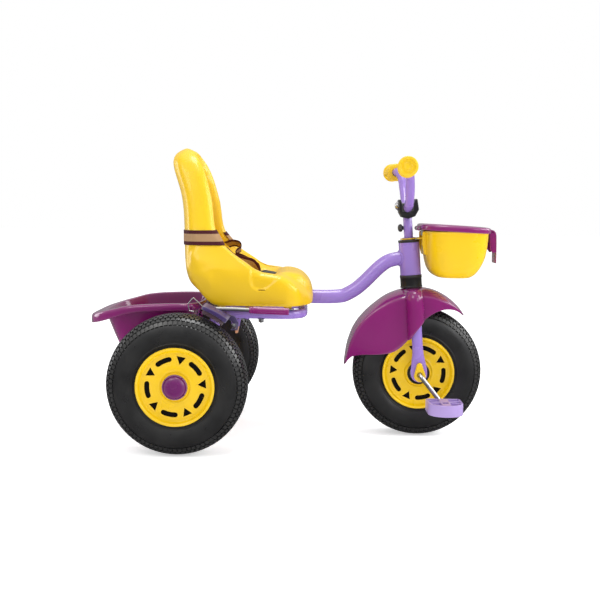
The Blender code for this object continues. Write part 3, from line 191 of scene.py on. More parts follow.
def coords(tree, scale=(1, 1, 1), kind="Object"):
    tex = tree.nodes.new("ShaderNodeTexCoord")
    mapping = tree.nodes.new("ShaderNodeMapping")
    mapping.inputs["Scale"].default_value = scale
    tree.links.new(tex.outputs[kind], mapping.inputs["Vector"])
    return mapping.outputs["Vector"]


def noise_of(tree, vector, scale, detail=3.0, rough=0.5):
    made = node(tree, "ShaderNodeTexNoise")
    made.inputs["Scale"].default_value = scale
    made.inputs["Detail"].default_value = detail
    made.inputs["Roughness"].default_value = rough
    tree.links.new(vector, made.inputs["Vector"])
    return made.outputs["Fac"]


def ramp(tree, source, stops, interpolation="LINEAR"):
    made = tree.nodes.new("ShaderNodeValToRGB")
    made.color_ramp.interpolation = interpolation
    while len(made.color_ramp.elements) < len(stops):
        made.color_ramp.elements.new(0.5)
    for element, (spot, colour) in zip(made.color_ramp.elements, stops):
        element.position = spot
        element.color = (*colour, 1) if len(colour) == 3 else colour
    tree.links.new(source, made.inputs["Fac"])
    return made.outputs["Color"]


def mapped(tree, source, low, high, from_low=0.3, from_high=0.7):
    made = tree.nodes.new("ShaderNodeMapRange")
    made.inputs["From Min"].default_value = from_low
    made.inputs["From Max"].default_value = from_high
    made.inputs["To Min"].default_value = low
    made.inputs["To Max"].default_value = high
    tree.links.new(source, made.inputs["Value"])
    return made.outputs["Result"]


def bumps(tree, bsdf, *layers):
    """Stacked bumps: each layer is (height socket, distance in metres, strength)."""
    last = None
    for height, distance, strength in layers:
        made = tree.nodes.new("ShaderNodeBump")
        made.inputs["Distance"].default_value = distance
        made.inputs["Strength"].default_value = strength
        tree.links.new(height, made.inputs["Height"])
        if last is not None:
            tree.links.new(last, made.inputs["Normal"])
        last = made.outputs["Normal"]
    tree.links.new(last, bsdf.inputs["Normal"])


def shade_of(colour, k):
    return tuple(max(0.0, min(1.0, c * k)) for c in colour)


def mixed(tree, factor, a, b, blend="MIX"):
    made = tree.nodes.new("ShaderNodeMix")
    made.data_type = "RGBA"
    made.blend_type = blend
    for socket, value in ((made.inputs[6], a), (made.inputs[7], b)):
        if isinstance(value, tuple):
            socket.default_value = (*value, 1)
        else:
            tree.links.new(value, socket)
    if isinstance(factor, float):
        made.inputs[0].default_value = factor
    else:
        tree.links.new(factor, made.inputs[0])
    return made.outputs[2]


def moulded(name, colour, rough=0.32, coat=0.25, peel=420.0, grain=0.00006, spread=0.05, worn=0.25, subsurface=0.0, coat_rough=0.12, specular=0.40):
    """Injection- or blow-moulded plastic: faint colour drift, fine surface grain, rubbed edges and handling marks."""
    mat, tree, bsdf = shader(name, colour, rough, coat=coat, coat_rough=coat_rough)
    bsdf.inputs["Specular IOR Level"].default_value = specular
    where = coords(tree)
    drift = noise_of(tree, where, 9.0, 3.0)
    base = ramp(tree, drift, [(0.30, shade_of(colour, 1 - spread)), (0.70, shade_of(colour, 1 + spread))])
    geometry = tree.nodes.new("ShaderNodeNewGeometry")
    edge = mapped(tree, geometry.outputs["Pointiness"], 0.0, worn, 0.515, 0.56)
    lighter = tuple(min(1.0, c * 0.6 + 0.4) for c in colour)
    tree.links.new(mixed(tree, edge, base, lighter), bsdf.inputs["Base Color"])
    fine = noise_of(tree, where, peel, 2.0)
    scuff = noise_of(tree, coords(tree, (26, 26, 120)), 3.0, 4.0)
    smudge = noise_of(tree, where, 17.0, 4.0)
    rough_map = mapped(tree, smudge, rough - 0.06, rough + 0.09)
    tree.links.new(rough_map, bsdf.inputs["Roughness"])
    bumps(tree, bsdf, (fine, grain, 0.35), (scuff, grain * 0.8, 0.10), (noise_of(tree, where, 38.0, 2.0), 0.0002, 0.05))
    if subsurface:
        bsdf.inputs["Subsurface Weight"].default_value = subsurface
        bsdf.inputs["Subsurface Radius"].default_value = (0.010, 0.006, 0.002)
        bsdf.inputs["Subsurface Scale"].default_value = 0.4
    return mat


def painted(name, colour, rough=0.26):
    """Powder-coated tube: glossy coat with orange peel, faint mottling and a few rubbed spots."""
    mat, tree, bsdf = shader(name, colour, rough, coat=0.40, coat_rough=0.07)
    where = coords(tree)
    drift = noise_of(tree, where, 14.0, 4.0)
    base = ramp(tree, drift, [(0.32, shade_of(colour, 0.95)), (0.68, shade_of(colour, 1.05))])
    speck = ramp(tree, noise_of(tree, where, 900.0, 1.0), [(0.70, (0, 0, 0)), (0.74, (1, 1, 1))])
    tree.links.new(mixed(tree, mapped(tree, speck, 0.0, 0.25, 0, 1), base, shade_of(colour, 1.35)), bsdf.inputs["Base Color"])
    tree.links.new(mapped(tree, noise_of(tree, where, 24.0, 4.0), rough - 0.05, rough + 0.09), bsdf.inputs["Roughness"])
    bumps(tree, bsdf, (noise_of(tree, where, 260.0, 2.0), 0.00012, 0.22), (noise_of(tree, where, 900.0, 1.0), 0.00003, 0.25))
    return mat


def plated(name, colour=(0.78, 0.78, 0.80), rough=0.16):
    """Bright-plated steel with drawn lines, water spots and slight haze."""
    mat, tree, bsdf = shader(name, colour, rough, metallic=1.0)
    where = coords(tree)
    haze = noise_of(tree, where, 60.0, 5.0)
    lines = noise_of(tree, coords(tree, (90, 900, 900)), 3.0, 3.0)
    tree.links.new(ramp(tree, haze, [(0.35, shade_of(colour, 0.86)), (0.65, colour)]), bsdf.inputs["Base Color"])
    tree.links.new(mapped(tree, haze, rough - 0.05, rough + 0.14), bsdf.inputs["Roughness"])
    bumps(tree, bsdf, (lines, 0.00003, 0.25), (haze, 0.00005, 0.10))
    return mat


def tyre_rubber(name):
    """Moulded tyre: near-black with a soft sheen, mould grain, and a dusty crown."""
    colour = (0.0085, 0.0085, 0.0092)
    mat, tree, bsdf = shader(name, colour, 0.42)
    where = coords(tree)
    cloudy = noise_of(tree, where, 22.0, 5.0)
    base = ramp(tree, cloudy, [(0.30, shade_of(colour, 0.75)), (0.75, (0.019, 0.0187, 0.0187))])
    geometry = tree.nodes.new("ShaderNodeNewGeometry")
    edge = mapped(tree, geometry.outputs["Pointiness"], 0.0, 0.5, 0.53, 0.60)
    tree.links.new(mixed(tree, edge, base, (0.055, 0.054, 0.053)), bsdf.inputs["Base Color"])
    tree.links.new(mapped(tree, noise_of(tree, where, 45.0, 4.0), 0.26, 0.40), bsdf.inputs["Roughness"])
    bsdf.inputs["Specular IOR Level"].default_value = 0.60
    bumps(tree, bsdf, (noise_of(tree, where, 1500.0, 2.0), 0.00005, 0.35), (noise_of(tree, where, 120.0, 3.0), 0.00012, 0.12))
    return mat


def webbing(name):
    """Woven belt: dark red selvedges, ribbed tan middle. U runs along the belt in metres, V across it from 0 to 1."""
    mat, tree, bsdf = shader(name, (0.2, 0.03, 0.06), 0.82)
    uv = tree.nodes.new("ShaderNodeUVMap")
    split = tree.nodes.new("ShaderNodeSeparateXYZ")
    tree.links.new(uv.outputs["UV"], split.inputs[0])
    dark, tan, pale = (0.052, 0.004, 0.014), (0.42, 0.260, 0.135), (0.44, 0.26, 0.155)
    band = ramp(tree, split.outputs["Y"], [(0.0, dark), (0.24, dark), (0.25, tan), (0.75, tan), (0.76, dark)], "CONSTANT")
    wave = tree.nodes.new("ShaderNodeTexWave")
    wave.wave_type = "BANDS"
    wave.bands_direction = "X"
    wave.inputs["Scale"].default_value = 170.0
    wave.inputs["Distortion"].default_value = 0.35
    wave.inputs["Detail"].default_value = 1.0
    tree.links.new(uv.outputs["UV"], wave.inputs["Vector"])
    cross = tree.nodes.new("ShaderNodeTexWave")
    cross.wave_type = "BANDS"
    cross.bands_direction = "Y"
    cross.inputs["Scale"].default_value = 9.0
    cross.inputs["Distortion"].default_value = 0.2
    tree.links.new(uv.outputs["UV"], cross.inputs["Vector"])
    ribbed = mixed(tree, mapped(tree, wave.outputs["Fac"], 0.0, 0.55, 0, 1), band, mixed(tree, 0.5, band, (0.05, 0.02, 0.02)))
    fuzz = noise_of(tree, coords(tree), 700.0, 2.0)
    tree.links.new(mixed(tree, mapped(tree, fuzz, 0.0, 0.06), ribbed, pale), bsdf.inputs["Base Color"])
    bsdf.inputs["Specular IOR Level"].default_value = 0.10
    bsdf.inputs["Sheen Weight"].default_value = 0.05
    bsdf.inputs["Sheen Roughness"].default_value = 0.4
    bumps(tree, bsdf, (wave.outputs["Fac"], 0.0005, 0.8), (cross.outputs["Fac"], 0.0002, 0.4), (fuzz, 0.0001, 0.4))
    return mat


LILAC = painted("lilac_paint_look", (0.272, 0.168, 0.520))
YELLOW = moulded("yellow_plastic_look", (0.760, 0.482, 0.0010), rough=0.30, coat=0.12, worn=0.05, subsurface=0.0)
SEAT_YELLOW = moulded("seat_yellow_look", (0.740, 0.468, 0.0010), rough=0.34, coat=0.20, worn=0.05, peel=650.0, grain=0.00012)
PURPLE = moulded("purple_plastic_look", (0.188, 0.0068, 0.118), rough=0.17, coat=0.55, spread=0.06, worn=0.10, coat_rough=0.06)
CAP_PURPLE = moulded("cap_purple_look", (0.120, 0.006, 0.098), rough=0.25, coat=0.4)
PEDAL_LILAC = moulded("pedal_lilac_look", (0.34, 0.24, 0.53), rough=0.34, coat=0.2)
SHOE_LILAC = moulded("shoe_look", (0.034, 0.014, 0.095), rough=0.42, coat=0.0)
BLACK = moulded("black_plastic_look", (0.008, 0.008, 0.009), rough=0.38, coat=0.15, worn=0.12, grain=0.00012)
RUBBER = tyre_rubber("tyre_look")
# near-black for the discs behind the rim's cut-outs: painted shade, standing for the shadow inside the hollow wheel
PAINTED_SLOT_SHADE = moulded("painted_slot_shade_look", (0.0050, 0.0040, 0.0038), rough=0.62, coat=0.0, worn=0.0, grain=0.0002, specular=0.12)
PAD = moulded("brake_pad_look", (0.040, 0.010, 0.022), rough=0.7, coat=0.0, grain=0.0003, peel=300)
STEEL = plated("steel_look")
DULL = plated("zinc_look", (0.62, 0.62, 0.64), 0.30)
ROD = plated("rod_look", (0.46, 0.46, 0.45), 0.48)
BELT = webbing("belt_look")
# orange for the brake tongue: a painted reflection, the warm tones a chromed steel tab mirrors, used as its base colour
PAINTED_REFLECTION_AMBER = moulded("tongue_painted_reflection_look", (0.80, 0.40, 0.22), rough=0.3, coat=0.3)

floor_mat, tree, bsdf = shader("floor_look", (0.93, 0.93, 0.935), 0.55)
tree.links.new(ramp(tree, noise_of(tree, coords(tree), 2.0, 3.0), [(0.3, (0.925, 0.925, 0.93)), (0.7, (0.94, 0.94, 0.945))]),
               bsdf.inputs["Base Color"])
bsdf.inputs["Emission Color"].default_value = (1, 1, 1, 1)
bsdf.inputs["Emission Strength"].default_value = 0.50
bpy.ops.mesh.primitive_plane_add(size=30, location=(0, 0, -0.0005))
floor = bpy.context.object
floor.name = "floor"
floor.data.materials.append(floor_mat)
floor.visible_glossy = False
floor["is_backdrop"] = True


# ---------------------------------------------------------------- mesh helpers
SLOT_OF = {}


def finish_piece(obj, mat, body, replaces=(), sharp=35.0, shift=True):
    if shift:
        obj.data.transform(obj.matrix_world)
        obj.matrix_world = Matrix.Identity(4)
        obj.data.transform(Matrix.Translation(SHIFT))
    obj.data.materials.clear()
    for m in (mat if isinstance(mat, (list, tuple)) else [mat]):
        obj.data.materials.append(m)
    obj.data.shade_smooth()
    if sharp:
        obj.data.set_sharp_from_angle(angle=math.radians(sharp))
    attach(obj, body)
    if replaces:
        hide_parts(*([replaces] if isinstance(replaces, str) else replaces))
    return obj


def new_object(name, bm, recalc=True):
    data = bpy.data.meshes.new(name)
    if recalc:
        bmesh.ops.recalc_face_normals(bm, faces=bm.faces[:])
    bm.to_mesh(data)
    bm.free()
    obj = bpy.data.objects.new(name, data)
    scene.collection.objects.link(obj)
    return obj


def baked(obj):
    """The object with its modifiers applied to a plain mesh."""
    bpy.context.view_layer.update()
    graph = bpy.context.evaluated_depsgraph_get()
    data = bpy.data.meshes.new_from_object(obj.evaluated_get(graph), depsgraph=graph)
    data.transform(obj.matrix_world)
    name = obj.name
    bpy.data.objects.remove(obj, do_unlink=True)
    made = bpy.data.objects.new(name, data)
    scene.collection.objects.link(made)
    return made


def combine(obj, others, operation="UNION"):
    for i, other in enumerate(others):
        change = obj.modifiers.new(f"b{i}", "BOOLEAN")
        change.operation = operation
        change.solver = "EXACT"
        change.object = other
    out_obj = baked(obj)
    for other in others:
        bpy.data.objects.remove(other, do_unlink=True)
    return out_obj


def cut(obj, *others):
    return combine(obj, others, "DIFFERENCE")


def join(obj, *others):
    return combine(obj, others, "UNION")


def together(obj, *others):
    """Several closed shells in one mesh, where they only lap into each other."""
    bm = bmesh.new()
    for o in (obj, *others):
        o.data.transform(o.matrix_world)
        bm.from_mesh(o.data)
    name = obj.name
    for o in (obj, *others):
        bpy.data.objects.remove(o, do_unlink=True)
    return new_object(name, bm, recalc=False)


def rounded(obj, width, segments=3, angle=30):
    """Bevelled edges, applied."""
    change = obj.modifiers.new("bevel", "BEVEL")
    change.width = width
    change.segments = segments
    change.limit_method = "ANGLE"
    change.angle_limit = math.radians(angle)
    change.harden_normals = False
    return baked(obj)


def smooth_points(points, per=8):
    pts = [Vector(p) for p in points]
    made = []
    for i in range(len(pts) - 1):
        p1, p2 = pts[i], pts[i + 1]
        p0 = pts[i - 1] if i else p1 * 2 - p2
        p3 = pts[i + 2] if i + 2 < len(pts) else p2 * 2 - p1
        for k in range(per):
            t = k / per
            made.append(0.5 * ((2 * p1) + (p2 - p0) * t + (2 * p0 - 5 * p1 + 4 * p2 - p3) * t * t
                               + (3 * p1 - p0 - 3 * p2 + p3) * t ** 3))
    made.append(pts[-1])
    return made


def cornered(points, radius, steps=10):
    """Straight runs joined by true bends."""
    pts = [Vector(p) for p in points]
    made = [pts[0]]
    for a, b, c in zip(pts, pts[1:], pts[2:]):
        d0, d1 = (a - b).normalized(), (c - b).normalized()
        half = d0.angle(d1) / 2
        reach = radius / math.tan(half)
        centre = b + (d0 + d1).normalized() * (radius / math.sin(half))
        s, e = b + d0 * reach - centre, b + d1 * reach - centre
        turn = s.angle(e)
        for k in range(steps + 1):
            t = k / steps
            made.append(centre + (s * math.sin((1 - t) * turn) + e * math.sin(t * turn)) / math.sin(turn))
    made.append(pts[-1])
    return made


def resampled(points, spacing):
    pts = [Vector(p) for p in points]
    lengths = [0.0]
    for a, b in zip(pts, pts[1:]):
        lengths.append(lengths[-1] + (b - a).length)
    count = max(2, int(lengths[-1] / spacing) + 1)
    made = []
    for k in range(count + 1):
        want = lengths[-1] * k / count
        i = max(0, min(len(pts) - 2, int(np.searchsorted(lengths, want)) - 1))
        span = lengths[i + 1] - lengths[i]
        t = 0 if span < 1e-12 else (want - lengths[i]) / span
        made.append(pts[i].lerp(pts[i + 1], min(1, max(0, t))))
    return made


def sweep(name, points, radius, sides=24, cap_round=0.0, flat=None, start_up=None, keep=False):
    """A tube along the points. radius may be a number or a function of (i, n) giving (half width, half height)."""
    pts = [Vector(p) for p in points]
    n = len(pts)
    tangents = [(pts[min(i + 1, n - 1)] - pts[max(i - 1, 0)]).normalized() for i in range(n)]
    side = Vector(start_up) if start_up else (Vector((0, 1, 0)) if abs(tangents[0].y) < 0.9 else Vector((1, 0, 0)))
    side = (side - tangents[0] * side.dot(tangents[0])).normalized()
    rings = []
    for i, (p, t) in enumerate(zip(pts, tangents)):
        side = (side - t * side.dot(t)).normalized()
        other = t.cross(side)
        a, b = radius(i, n) if callable(radius) else (radius, radius)
        rings.append([p + side * a * math.cos(2 * math.pi * k / sides) + other * b * math.sin(2 * math.pi * k / sides) for k in range(sides)])
    if cap_round:
        def shrunk(ring, centre, t, sign):
            extra = []
            for angle in (25, 50, 72):
                c, s = math.cos(math.radians(angle)), math.sin(math.radians(angle))
                r = (ring[0] - centre).length
                k = (r - cap_round * (1 - c)) / r
                extra.append([centre + (q - centre) * k + t * sign * cap_round * s for q in ring])
            return extra
        first = shrunk(rings[0], pts[0], tangents[0], -1)[::-1]
        last = shrunk(rings[-1], pts[-1], tangents[-1], 1)
        rings = first + rings + last
    return skin(name, rings)


def skin(name, rings, closed=False, caps=True):
    bm = bmesh.new()
    grid = [[bm.verts.new(p) for p in ring] for ring in rings]
    n = len(rings[0])
    pairs = list(zip(grid, grid[1:])) + ([(grid[-1], grid[0])] if closed else [])
    for a, b in pairs:
        for i in range(n):
            bm.faces.new((a[i], a[(i + 1) % n], b[(i + 1) % n], b[i]))
    if caps and not closed:
        bm.faces.new(grid[0][::-1])
        bm.faces.new(grid[-1])
    return new_object(name, bm)


def axis_matrix(origin, direction):
    q = Vector((0, 0, 1)).rotation_difference(Vector(direction).normalized())
    return Matrix.Translation(origin) @ q.to_matrix().to_4x4()


def lathe(name, profile, steps, origin=(0, 0, 0), direction=(0, 0, 1)):
    """A closed (radius, height) loop turned round an axis. Points with radius 0 become poles."""
    bm = bmesh.new()
    m = axis_matrix(origin, direction)
    rows = []
    for r, h in profile:
        if r < 1e-7:
            rows.append([bm.verts.new(m @ Vector((0, 0, h)))])
        else:
            rows.append([bm.verts.new(m @ Vector((r * math.cos(2 * math.pi * k / steps), r * math.sin(2 * math.pi * k / steps), h)))
                         for k in range(steps)])
    open_ends = len(rows[0]) == 1 and len(rows[-1]) == 1
    pairs = list(zip(rows, rows[1:])) + ([] if open_ends else [(rows[-1], rows[0])])
    for a, b in pairs:
        for k in range(steps):
            j = (k + 1) % steps
            if len(a) == 1 and len(b) == 1:
                continue
            if len(a) == 1:
                bm.faces.new((a[0], b[k], b[j]))
            elif len(b) == 1:
                bm.faces.new((a[k], a[j], b[0]))
            else:
                bm.faces.new((a[k], a[j], b[j], b[k]))
    return new_object(name, bm)


def fillet(profile, radii, steps=3):
    """Rounds the corners of a 2-D loop; radii gives one radius, or one for each corner."""
    n = len(profile)
    made = []
    for i in range(n):
        p0, p1, p2 = (Vector((*profile[j % n], 0)) for j in (i - 1, i, i + 1))
        r = radii if not isinstance(radii, (list, tuple)) else radii[i]
        a, b = p0 - p1, p2 - p1
        if r <= 0 or a.length < 1e-9 or b.length < 1e-9:
            made.append(profile[i])
            continue
        angle = a.angle(b)
        if angle > math.radians(176):
            made.append(profile[i])
            continue
        reach = min(r / math.tan(angle / 2), a.length * 0.48, b.length * 0.48)
        s, e = p1 + a.normalized() * reach, p1 + b.normalized() * reach
        for k in range(steps + 1):
            t = k / steps
            q = s * (1 - t) ** 2 + p1 * 2 * t * (1 - t) + e * t ** 2
            made.append((q.x, q.y))
    return made


def plate(name, loops, thickness, bevel=0.0, matrix=None, resolution=2):
    """Flat outlines (the first outside, the rest holes) filled, extruded both ways, with rounded rims."""
    data = bpy.data.curves.new(name, "CURVE")
    data.dimensions = "2D"
    data.fill_mode = "BOTH"
    data.extrude = thickness / 2 - bevel
    data.bevel_depth = bevel
    data.bevel_resolution = resolution
    data.offset = -bevel
    for points in loops:
        run = data.splines.new("POLY")
        run.points.add(len(points) - 1)
        for spot, p in zip(run.points, points):
            spot.co = (p[0], p[1], 0, 1)
        run.use_cyclic_u = True
    obj = bpy.data.objects.new(name, data)
    scene.collection.objects.link(obj)
    if matrix is not None:
        obj.matrix_world = matrix
    made = baked(obj)
    bm = bmesh.new()
    bm.from_mesh(made.data)
    bmesh.ops.remove_doubles(bm, verts=bm.verts[:], dist=1e-6)
    bmesh.ops.recalc_face_normals(bm, faces=bm.faces[:])
    bm.to_mesh(made.data)
    bm.free()
    return made


def box(name, low, high, bevel=0.0, matrix=None, segments=3):
    low, high = Vector(low), Vector(high)
    bm = bmesh.new()
    bmesh.ops.create_cube(bm, size=1.0)
    bmesh.ops.scale(bm, vec=high - low, verts=bm.verts[:])
    bmesh.ops.translate(bm, vec=(low + high) / 2, verts=bm.verts[:])
    if bevel:
        bmesh.ops.bevel(bm, geom=bm.edges[:], offset=bevel, segments=segments, affect="EDGES", profile=0.5)
    if matrix is not None:
        bmesh.ops.transform(bm, matrix=matrix, verts=bm.verts[:])
    return new_object(name, bm)


def bar(name, start, end, radius, sides=24, bevel=0.0):
    start, end = Vector(start), Vector(end)
    length = (end - start).length
    b = min(bevel, radius * 0.6)
    profile = [(0, 0), (radius - b, 0)] + ([(radius - b * 0.3, b * 0.3)] if b else []) + [(radius, b), (radius, length - b)]
    profile += ([(radius - b * 0.3, length - b * 0.3)] if b else []) + [(radius - b, length), (0, length)]
    return lathe(name, profile, sides, start, end - start)


XZ = Matrix(((1, 0, 0, 0), (0, 0, -1, 0), (0, 1, 0, 0), (0, 0, 0, 1)))


def at_y(y):
    return Matrix.Translation((0, y, 0)) @ XZ


def arc(cx, cz, r, a0, a1, n):
    return [(cx + r * math.cos(math.radians(a0 + (a1 - a0) * k / n)), cz + r * math.sin(math.radians(a0 + (a1 - a0) * k / n)))
            for k in range(n + 1)]


def between(x, table):
    xs, ys = zip(*table)
    return float(np.interp(x, xs, ys))


def curve_through(table):
    """Smooth monotone-ish interpolation (Catmull-Rom in x) through a table."""
    xs = np.array([p[0] for p in table], float)
    ys = np.array([p[1] for p in table], float)
    slopes = np.gradient(ys, xs)

    def at(x):
        x = min(max(x, xs[0]), xs[-1])
        i = int(min(max(np.searchsorted(xs, x) - 1, 0), len(xs) - 2))
        h = xs[i + 1] - xs[i]
        t = (x - xs[i]) / h
        return float((2 * t ** 3 - 3 * t ** 2 + 1) * ys[i] + (t ** 3 - 2 * t ** 2 + t) * h * slopes[i]
                     + (-2 * t ** 3 + 3 * t ** 2) * ys[i + 1] + (t ** 3 - t ** 2) * h * slopes[i + 1])
    return at


def ease(t):
    t = min(1.0, max(0.0, t))
    return t * t * (3 - 2 * t)


# ---------------------------------------------------------------- wheels
PITCHES = 84
TREAD_ROWS = [(0.0, 3.6), (5.0, 12.0), (13.4, 20.6), (22.0, 29.2), (30.6, 37.6), (38.6, 46.5)]   # along the section from the crown, mm


def tyre_section():
    """Half section from the crown to the bead as (radius, half width, depth pattern row, 1 on a block's top)."""
    through = [(0.1300, 0.0), (0.1297, 0.0100), (0.1286, 0.0205), (0.1262, 0.0282), (0.1222, 0.0340), (0.1160, 0.0386),
               (0.1080, 0.0419), (0.0990, 0.0436), (0.0900, 0.0433), (0.0830, 0.0418), (0.0772, 0.0397), (0.0740, 0.0388)]
    dense = smooth_points([(r, h, 0) for r, h in through], 24)
    lengths = np.concatenate([[0], np.cumsum([(b - a).length for a, b in zip(dense, dense[1:])])]) * 1000
    rs, hs = np.array([p.x for p in dense]), np.array([p.y for p in dense])

    def at(s):
        r, h = np.interp(s, lengths, rs), np.interp(s, lengths, hs)
        r2, h2 = np.interp(s + 0.4, lengths, rs), np.interp(s + 0.4, lengths, hs)
        r1, h1 = np.interp(max(0, s - 0.4), lengths, rs), np.interp(max(0, s - 0.4), lengths, hs)
        t = Vector((r2 - r1, h2 - h1)).normalized()
        return float(r), float(h), Vector((t.y, -t.x))     # outward normal as (radius, half width)
    section = [(0.0, 0, 1)]
    for row, (a, b) in enumerate(TREAD_ROWS):
        if row:
            section += [(a, row, 0), (a + 0.45, row, 1)]
        section += [(b - 0.45, row, 1), (b, row, 0)]
    wall = [(48.6, -1, 2), (52, -1, 2), (56, -1, 2)]
    total = lengths[-1]
    wall += [(s, -1, 2) for s in np.linspace(60, total - 7.0, 6)]
    wall += [(total - 5.6, -1, 2), (total - 4.9, -2, 2), (total - 3.4, -2, 2), (total - 2.7, -1, 2), (total, -1, 2)]
    return [(at(s), row, top) for s, row, top in section + wall]


SECTION = tyre_section()
STEPS_IN_PITCH = (0.11, 0.16, 0.34, 0.39, 0.61, 0.66, 0.84, 0.89)


def tyre(name, centre, body, replaced, phase=0.0):
    bm = bmesh.new()
    columns = []
    for pitch in range(PITCHES):
        for f in STEPS_IN_PITCH:
            angle = 2 * math.pi * (pitch + f + phase) / PITCHES
            half = []
            for (r, h, normal), row, top in SECTION:
                depth = 0.0
                if row >= 0:
                    deep = 0.0032 if row < 4 else (0.0026 if row == 4 else 0.0016)
                    even = row % 2 == 0
                    in_gap = (f < 0.13 or f > 0.87) if even else (0.37 < f < 0.63)
                    depth = deep if (top == 0 or in_gap) else 0.0
                    if row == 0 and top == 1 and in_gap:
                        depth = deep
                elif row == -2:
                    depth = -0.0006
                half.append((r - normal.x * depth, h - normal.y * depth))
            inner = [(0.0722, 0.0427), (0.0692, 0.0420), (0.0672, 0.0400), (0.0670, 0.0280)]
            near = half + inner
            loop = near + [(r, -h) for r, h in near[:0:-1]]
            c, s = math.cos(angle), math.sin(angle)
            columns.append([bm.verts.new((centre[0] + r * c, centre[1] - h, centre[2] + r * s)) for r, h in loop])
    n = len(columns[0])
    for a, b in zip(columns, columns[1:] + columns[:1]):
        for i in range(n):
            bm.faces.new((a[i], a[(i + 1) % n], b[(i + 1) % n], b[i]))
    obj = new_object(name, bm)
    return finish_piece(obj, RUBBER, body, replaced, sharp=38)


def clock(angle, r):
    a = math.radians(angle)
    return (r * math.sin(a), r * math.cos(a))


def slot_outline(angle, r=0.0510, half_angle=12.6, half_width=0.0058, n=10):
    points = [clock(angle - half_angle + 2 * half_angle * k / n, r + half_width) for k in range(n + 1)]
    cx, cy = clock(angle + half_angle, r)
    for k in range(1, 6):
        a = math.radians(90 - (angle + half_angle)) - math.pi * k / 6
        points.append((cx + half_width * math.cos(a), cy + half_width * math.sin(a)))
    points += [clock(angle + half_angle - 2 * half_angle * k / n, r - half_width) for k in range(n + 1)]
    cx, cy = clock(angle - half_angle, r)
    for k in range(1, 6):
        a = math.radians(90 - (angle - half_angle)) - math.pi - math.pi * k / 6
        points.append((cx + half_width * math.cos(a), cy + half_width * math.sin(a)))
    return points


def triangle_outline(angle, r=0.0512, side=0.0212, corner=0.0014):
    reach = side / math.sqrt(3)
    centre = Vector((*clock(angle, r), 0))
    inward = -centre.normalized()
    tips = []
    for k in (0, 120, 240):
        d = Matrix.Rotation(math.radians(k), 3, "Z") @ inward
        tips.append(tuple((centre + d * reach).xy))
    return fillet(tips, corner, 3)


def rim(name, centre, body, replaced, bore, slots_at, triangles_at):
    half = [(0.0720, 0.0440), (0.0717, 0.0454), (0.0709, 0.0464), (0.0697, 0.0467), (0.0680, 0.0463), (0.0667, 0.0452), (0.0656, 0.0428),
            (0.0645, 0.0403), (0.0632, 0.0391), (0.0612, 0.0387), (0.0400, 0.0387), (0.0322, 0.0387), (0.0312, 0.0393), (0.0298, 0.0399),
            (0.0284, 0.0399), (0.0272, 0.0393), (0.0262, 0.0388), (0.0253, 0.0391), (0.0246, 0.0403), (0.0238, 0.0416), (0.0226, 0.0421), (bore, 0.0421)]
    back = [(0.0713, 0.0431), (0.0680, 0.0424), (0.0666, 0.0402), (0.0665, 0.0300), (0.0652, 0.0300), (0.0647, 0.0352), (0.0620, 0.0364),
            (0.0240, 0.0364), (0.0190, 0.0350), (0.0128, 0.0290)]
    loop = half + [(r, -h) for r, h in half[::-1]] + [(r, -h) for r, h in back] + back[::-1]
    disc = lathe(name, loop, 120, centre, (0, -1, 0))
    outlines = [slot_outline(a) for a in slots_at] + [triangle_outline(a) for a in triangles_at]
    bezels = bmesh.new()
    for points in outlines:
        loop3 = [Vector((p[0], 0, p[1])) for p in points]
        n = len(loop3)
        for side in (-1, 1):
            rings = []
            for i, p in enumerate(loop3):
                t = (loop3[(i + 1) % n] - loop3[i - 1]).normalized()
                out_dir = t.cross(Vector((0, 1, 0))).normalized()
                rings.append([p + out_dir * 0.0013 * math.cos(b) + Vector((0, side * (0.0384 + 0.0009 * math.sin(b)), 0))
                              for b in [2 * math.pi * k / 8 for k in range(8)]])
            grid = [[bezels.verts.new(Vector(centre) + q) for q in ring] for ring in rings]
            for a, b in zip(grid, grid[1:] + grid[:1]):
                for k in range(8):
                    bezels.faces.new((a[k], a[(k + 1) % 8], b[(k + 1) % 8], b[k]))
    bezel = new_object("bezels", bezels)
    cutters = bmesh.new()
    for points in outlines:
        a = [cutters.verts.new(Vector(centre) + Vector((p[0], -0.06, p[1]))) for p in points]
        b = [cutters.verts.new(Vector(centre) + Vector((p[0], 0.06, p[1]))) for p in points]
        n = len(points)
        cutters.faces.new(a)
        cutters.faces.new(b[::-1])
        for i in range(n):
            cutters.faces.new((a[i], b[i], b[(i + 1) % n], a[(i + 1) % n]))
    disc = together(cut(disc, new_object("cutters", cutters)), bezel)
    # near-black discs inside the rim behind the slots and triangles: painted shade, a dark sheet where the inside of
    # the hollow wheel lies in shadow
    slot_shade_discs = [lathe(f"{name}_slot_shade_disc", [(0.0236, s * 0.0351), (0.0618, s * 0.0351), (0.0618, s * 0.0338), (0.0236, s * 0.0338)][::s], 72, centre, (0, -1, 0)) for s in (1, -1)]
    finish_piece(together(*slot_shade_discs), PAINTED_SLOT_SHADE, body)
    return finish_piece(disc, YELLOW, body, replaced, sharp=32)


